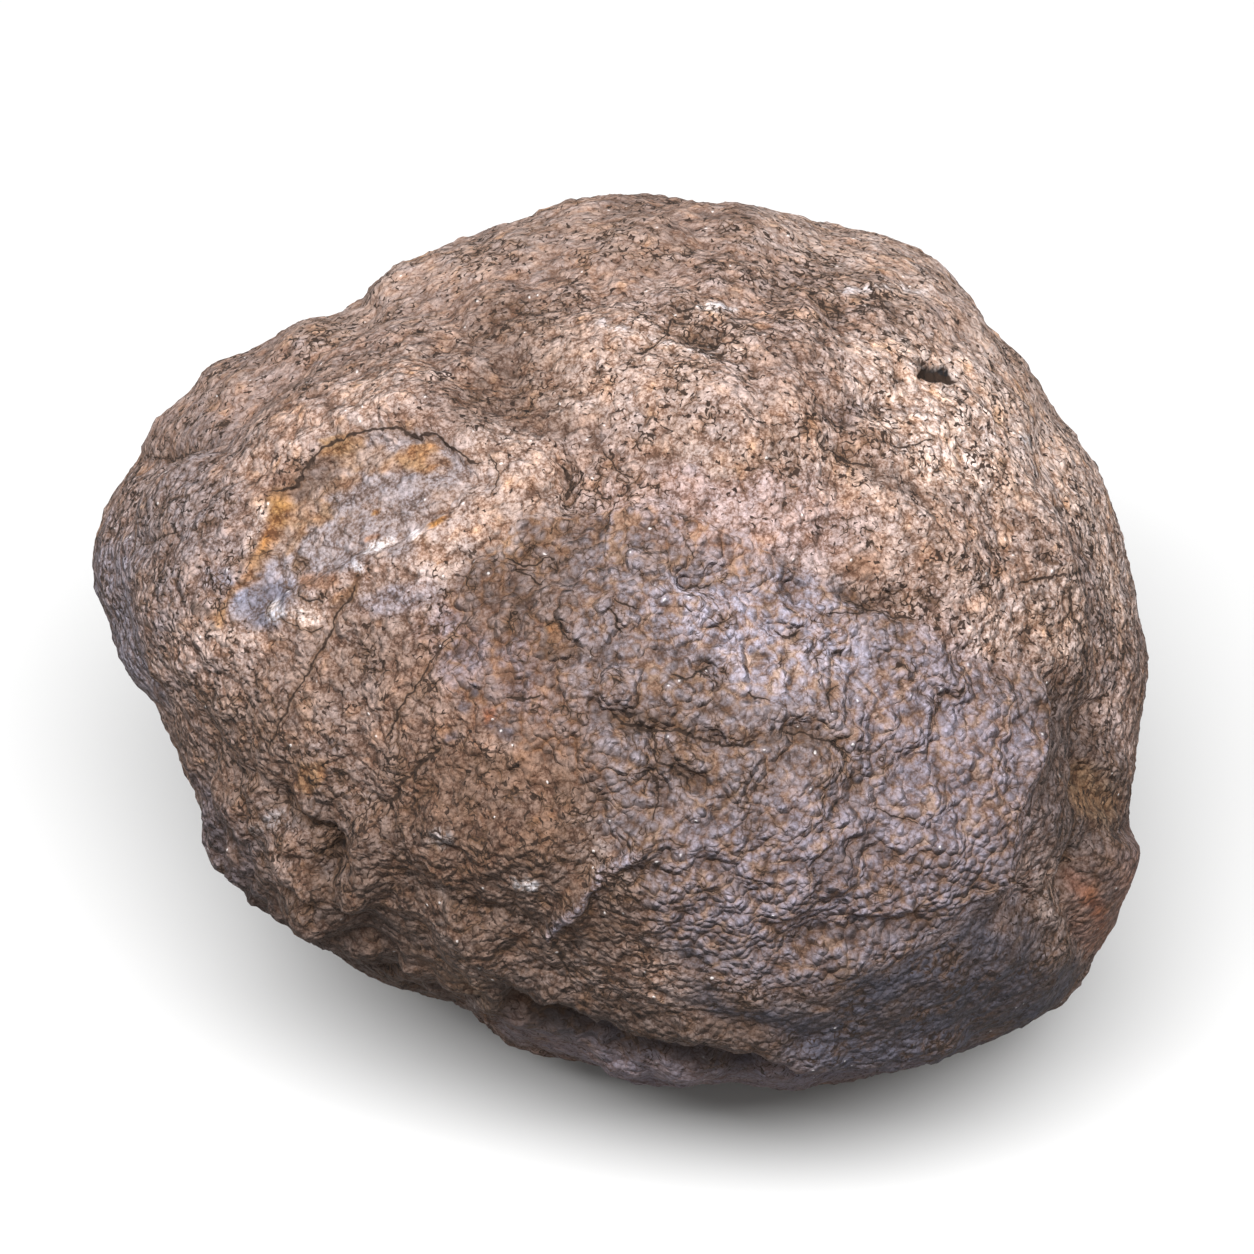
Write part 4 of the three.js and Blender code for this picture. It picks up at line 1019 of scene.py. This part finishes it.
def makeRindFinish():
    finish = rindFinish
    material = bpy.data.materials.new("geodeRind")
    material.use_nodes = True
    tree = material.node_tree
    tree.nodes.clear()
    plus, minus, times = [partial(calculate, tree, sign) for sign in ("ADD", "SUBTRACT", "MULTIPLY")]
    larger, smaller, size = [partial(calculate, tree, sign) for sign in ("MAXIMUM", "MINIMUM", "ABSOLUTE")]
    between = partial(shareBetween, tree)

    def shifted(tone, value, middleValue, much):
        return plus(tone, times(minus(value, middleValue), much))

    def notSo(share, much=1.0):
        return minus(1.0, times(share, much))

    objectPlace = addNode(tree, "ShaderNodeTexCoord").outputs["Object"]
    place = vectorMath(tree, "SCALE", objectPlace, 1000.0, "Scale")
    ragged = mark(tree, "ragged", "Vector")
    crinkled = wobble(tree, ragged, 0.9, 0.35)
    face, patch, dip = mark(tree, "face"), mark(tree, "patch"), mark(tree, "dip")
    worn, cluster = mark(tree, "worn"), mark(tree, "cluster")

    # Mottling, grains with crumbs between them, and thin layers that run level round the upper part
    mottle = noiseOf(tree, crinkled, finish["mottleSize"], 2.0, 0.6).outputs[0]
    grit = noiseOf(tree, place, finish["gritSize"], 2.0, 0.7).outputs[0]
    grains = cells(tree, crinkled, finish["grainSize"])
    crumbs = cells(tree, crinkled, finish["crumbSize"])
    fromGrain, fromCrumb = grains["Distance"], crumbs["Distance"]
    grainTint = addNode(tree, "ShaderNodeSeparateColor", {0: grains["Color"]}).outputs
    crumbTint = addNode(tree, "ShaderNodeSeparateColor", {0: crumbs["Color"]}).outputs
    seams = cells(tree, crinkled, finish["grainSize"], "DISTANCE_TO_EDGE")["Distance"]
    layered = vectorMath(tree, "MULTIPLY", ragged, (0.22, 0.8, 1.0))
    layers = noiseOf(tree, layered, 1.5, 1.0, 0.6).outputs[0]
    height = addNode(tree, "ShaderNodeSeparateXYZ", {0: place}).outputs["Z"]
    layerShow = times(between(height, finish["layersFrom"], finish["layersFull"]), lightness["layer"])

    # Worm-like furrows between the crumbs, which open into small cracks here and there
    smallRidges = size(minus(noiseOf(tree, ragged, finish["smallCrackSize"], 1.0, 0.5).outputs[0], 0.5))
    quieter = notSo(larger(face, patch), 0.5)
    furrow = times(between(smallRidges, 0.055, 0.0), quieter)

    # How light each spot is, round 0.5: what shifts it, that one's middle, how much
    tone = 0.5
    for value, middleValue, much in (
            (mottle, 0.5, lightness["mottle"]), (grainTint[0], 0.5, lightness["grain"]),
            (fromGrain, 0.5, lightness["roundGrain"]), (between(seams, 0.1, 0.0), 0.2, lightness["seam"]),
            (crumbTint[0], 0.5, lightness["crumb"]), (fromCrumb, 0.5, lightness["roundCrumb"]),
            (layers, 0.5, layerShow), (grit, 0.5, lightness["grit"])):
        tone = shifted(tone, value, middleValue, much)
    calm = minus(1.0, larger(times(face, finish["faceCalm"]), times(worn, finish["wornCalm"])))
    tone = plus(times(minus(tone, 0.5), calm), 0.5)
    tone = shifted(tone, furrow, 0.25, lightness["furrow"])
    # Painted shade: darker where the mesh dips
    tone = shifted(tone, dip, 0.0, lightness["dip"])
    tint = mark(tree, "tint", "Color")
    colour = vectorMath(tree, "MULTIPLY", tint, colourRamp(tree, tone, finish["lightStops"]))

    # Grains run from lilac grey through beige to a few orange ones, warmer between the domes of the face
    hueTone = shifted(plus(mark(tree, "hue"), 0.54), grainTint[1], 0.5, 0.2)
    hueTone = plus(hueTone, times(times(minus(fromCrumb, 0.42), face), 0.7))
    colour = vectorMath(tree, "MULTIPLY", colour, colourRamp(tree, hueTone, finish["hueStops"]))
    colour = vectorMath(tree, "SCALE", colour, finish["brightness"], "Scale")

    # Curved cracks that taper out and crowd together in clusters
    crackWander = noiseOf(tree, place, 1.1, 1.0, 0.6).outputs[0]
    breaks = shifted(noiseOf(tree, ragged, 1.9, 1.0, 0.5).outputs[0], cluster, 0.5, 0.35)
    openness = times(between(breaks, 0.44, 0.66), between(cluster, 0.36, 0.62))
    ridges = size(minus(noiseOf(tree, ragged, finish["crackSize"], 1.0, 0.5).outputs[0], 0.5))
    smallOpen = between(shifted(crackWander, cluster, 0.5, 0.5), 0.47, 0.68)
    fineCrack = larger(
        between(minus(ridges, times(openness, finish["crackOpen"])), 0.0, -0.010),
        between(minus(seams, times(openness, finish["seamOpen"])), 0.0, -0.035))
    smallCrack = between(minus(smallRidges, times(smallOpen, finish["smallCrackOpen"])), 0.0, -0.025)
    fineCrack = larger(fineCrack, times(smallCrack, quieter))

    # The long cracks, from their side and half width on the mesh
    crackWidth = mark(tree, "crackShow")
    crackSide = size(shifted(mark(tree, "crackSide"), crackWander, 0.5, 0.9))
    longCrack = times(between(minus(crackSide, crackWidth), 0.05, -0.06), between(crackWidth, 0.01, 0.06))

    # Dirt in spots and beside the cracks
    dirt = times(between(mark(tree, "dirt"), 0.54, 0.70), times(calm, shares["dirt"]))
    stain = times(between(crackSide, 0.9, 0.15), between(crackWidth, 0.02, 0.08))
    halo = times(between(smaller(seams, times(ridges, 3.5)), 0.22, 0.03), openness)
    dirt = larger(dirt, times(larger(halo, times(stain, shares["crackSide"])), shares["halo"]))
    colour = blendColours(tree, dirt, colour, colourOf(finish["dirtColour"]))

    # Dark in the cracks and a few pinholes, and painted shade in the hollows of the mesh
    hollow = times(between(dip, 0.35, 1.3), shares["hollow"])
    pinhole = times(between(grainTint[2], 0.80, 0.84), between(fromGrain, 0.14, 0.06))
    dark = larger(larger(larger(fineCrack, hollow), longCrack), times(pinhole, shares["pinhole"]))
    colour = blendColours(tree, times(dark, shares["crack"]), colour, colourOf(finish["crackColour"]))

    # Small bright crystals
    sparkle = times(between(crumbTint[1], 0.955, 0.96), between(fromCrumb, 0.22, 0.1))
    colour = blendColours(tree, times(sparkle, shares["sparkle"]), colour, colourOf(finish["sparkleColour"]))

    # Round crumbs on a wavy ground, worn down where the rock is rubbed
    crumbShow = minus(reliefs["crumb"], times(patch, reliefs["crumbLostInPatch"]))
    crumbShow = plus(crumbShow, times(face, reliefs["crumbOfFace"]))
    relief = minus(times(mottle, notSo(face, reliefs["wavesLostInFace"])), times(fromCrumb, crumbShow))
    relief = times(minus(relief, times(fromGrain, reliefs["grain"])), notSo(worn, reliefs["lostWhereWorn"]))
    bump = addNode(tree, "ShaderNodeBump", {
        "Strength": 1.0, "Distance": finish["bumpDepth"], "Height": relief}).outputs[0]
    shader = addNode(tree, "ShaderNodeBsdfPrincipled", {
        "Base Color": colour, "Roughness": finish["roughness"], "Normal": bump,
        "Specular IOR Level": finish["gloss"]})
    addNode(tree, "ShaderNodeOutputMaterial", {"Surface": shader.outputs[0]})
    return material


print("finishing the rind")
geode = placed("geodeRind", rindMesh)
rindMesh.materials.append(makeRindFinish())
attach(geode, "root")
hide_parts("geode")

# The floor, the light and the camera
print("setting the stage")
stageSetup = {
    "floorSize": 8.0,
    "floorColour": (0.58, 0.58, 0.58, 1.0),
    "floorGlow": 0.7,  # only far off, where the key light fades
    "glowFrom": 0.45,
    "glowFull": 2.0,
    "keyTowards": (-0.05, -0.51, 0.86),
    "keyDistance": 1.1,
    "keyWidth": 1.8,
    "keyDepth": 0.5,
    "keyPower": 34.0,
    "worldStrength": 0.52,
    "groundStrength": 0.26,
    "cameraDistance": 750.0,
    "framePixels": 1254,
    "pixelsPerMm": 7.033,
    "middlePixel": (620.5, 645.0),  # where the nodule's middle comes in the picture
    "sensorWidth": 36.0,
}


def makeFloor():
    floorMesh = bpy.data.meshes.new("floor")
    half = stageSetup["floorSize"] / 2
    corners = [(-half, -half, 0), (half, -half, 0), (half, half, 0), (-half, half, 0)]
    floorMesh.from_pydata(corners, [], [(0, 1, 2, 3)])
    floor = placed("floor", floorMesh)
    material = bpy.data.materials.new("floor")
    material.use_nodes = True
    tree = material.node_tree
    shader = tree.nodes["Principled BSDF"]
    shader.inputs["Base Color"].default_value = stageSetup["floorColour"]
    shader.inputs["Roughness"].default_value = 0.9
    shader.inputs["Specular IOR Level"].default_value = 0.1
    shader.inputs["Emission Color"].default_value = (1.0, 1.0, 1.0, 1.0)
    place = addNode(tree, "ShaderNodeTexCoord").outputs["Object"]
    away = addNode(tree, "ShaderNodeVectorMath", {0: place}, operation="LENGTH").outputs["Value"]
    farShare = shareBetween(tree, away, stageSetup["glowFrom"], stageSetup["glowFull"])
    glow = calculate(tree, "MULTIPLY", farShare, stageSetup["floorGlow"])
    tree.links.new(glow, shader.inputs["Emission Strength"])
    material.cycles.emission_sampling = "NONE"
    floorMesh.materials.append(material)
    floor.visible_diffuse = False  # a dark table rather than a bright one under the nodule


def makeLight():
    towards = Vector(stageSetup["keyTowards"]).normalized()
    key = bpy.data.lights.new("key", "AREA")
    key.shape = "ELLIPSE"
    key.size = stageSetup["keyWidth"]
    key.size_y = stageSetup["keyDepth"]
    key.energy = stageSetup["keyPower"]
    keyObject = placed("key", key)
    keyObject.location = Vector(middle) * mm + towards * stageSetup["keyDistance"]
    keyObject.rotation_euler = towards.to_track_quat("Z", "Y").to_euler()
    world = bpy.data.worlds.new("studio")
    world.use_nodes = True
    tree = world.node_tree
    direction = addNode(tree, "ShaderNodeTexCoord").outputs["Generated"]
    height = addNode(tree, "ShaderNodeSeparateXYZ", {0: direction}).outputs["Z"]
    ground = stageSetup["groundStrength"]
    overHorizon = shareBetween(tree, height, -0.15, 0.05)
    shade = blendColours(tree, overHorizon, (ground, ground, ground, 1.0), (1.0, 1.0, 1.0, 1.0))
    tree.links.new(shade, tree.nodes["Background"].inputs["Color"])
    tree.nodes["Background"].inputs["Strength"].default_value = stageSetup["worldStrength"]
    bpy.context.scene.world = world


def makeCamera():
    mmPerPixel = 1 / stageSetup["pixelsPerMm"]
    halfFrame = stageSetup["framePixels"] / 2
    right = (halfFrame - stageSetup["middlePixel"][0]) * mmPerPixel
    above = (stageSetup["middlePixel"][1] - halfFrame) * mmPerPixel
    aim = middle + right * across + above * up
    frameWidth = stageSetup["framePixels"] * mmPerPixel
    cameraData = bpy.data.cameras.new("camera")
    cameraData.sensor_width = stageSetup["sensorWidth"]
    cameraData.lens = stageSetup["sensorWidth"] * stageSetup["cameraDistance"] / frameWidth
    camera = placed("camera", cameraData)
    camera.location = Vector(aim + out * stageSetup["cameraDistance"]) * mm
    camera.rotation_euler = Matrix((across, up, out)).transposed().to_euler()
    bpy.context.scene.camera = camera


makeFloor()
makeLight()
makeCamera()
bpy.context.scene.view_settings.view_transform = "Standard"
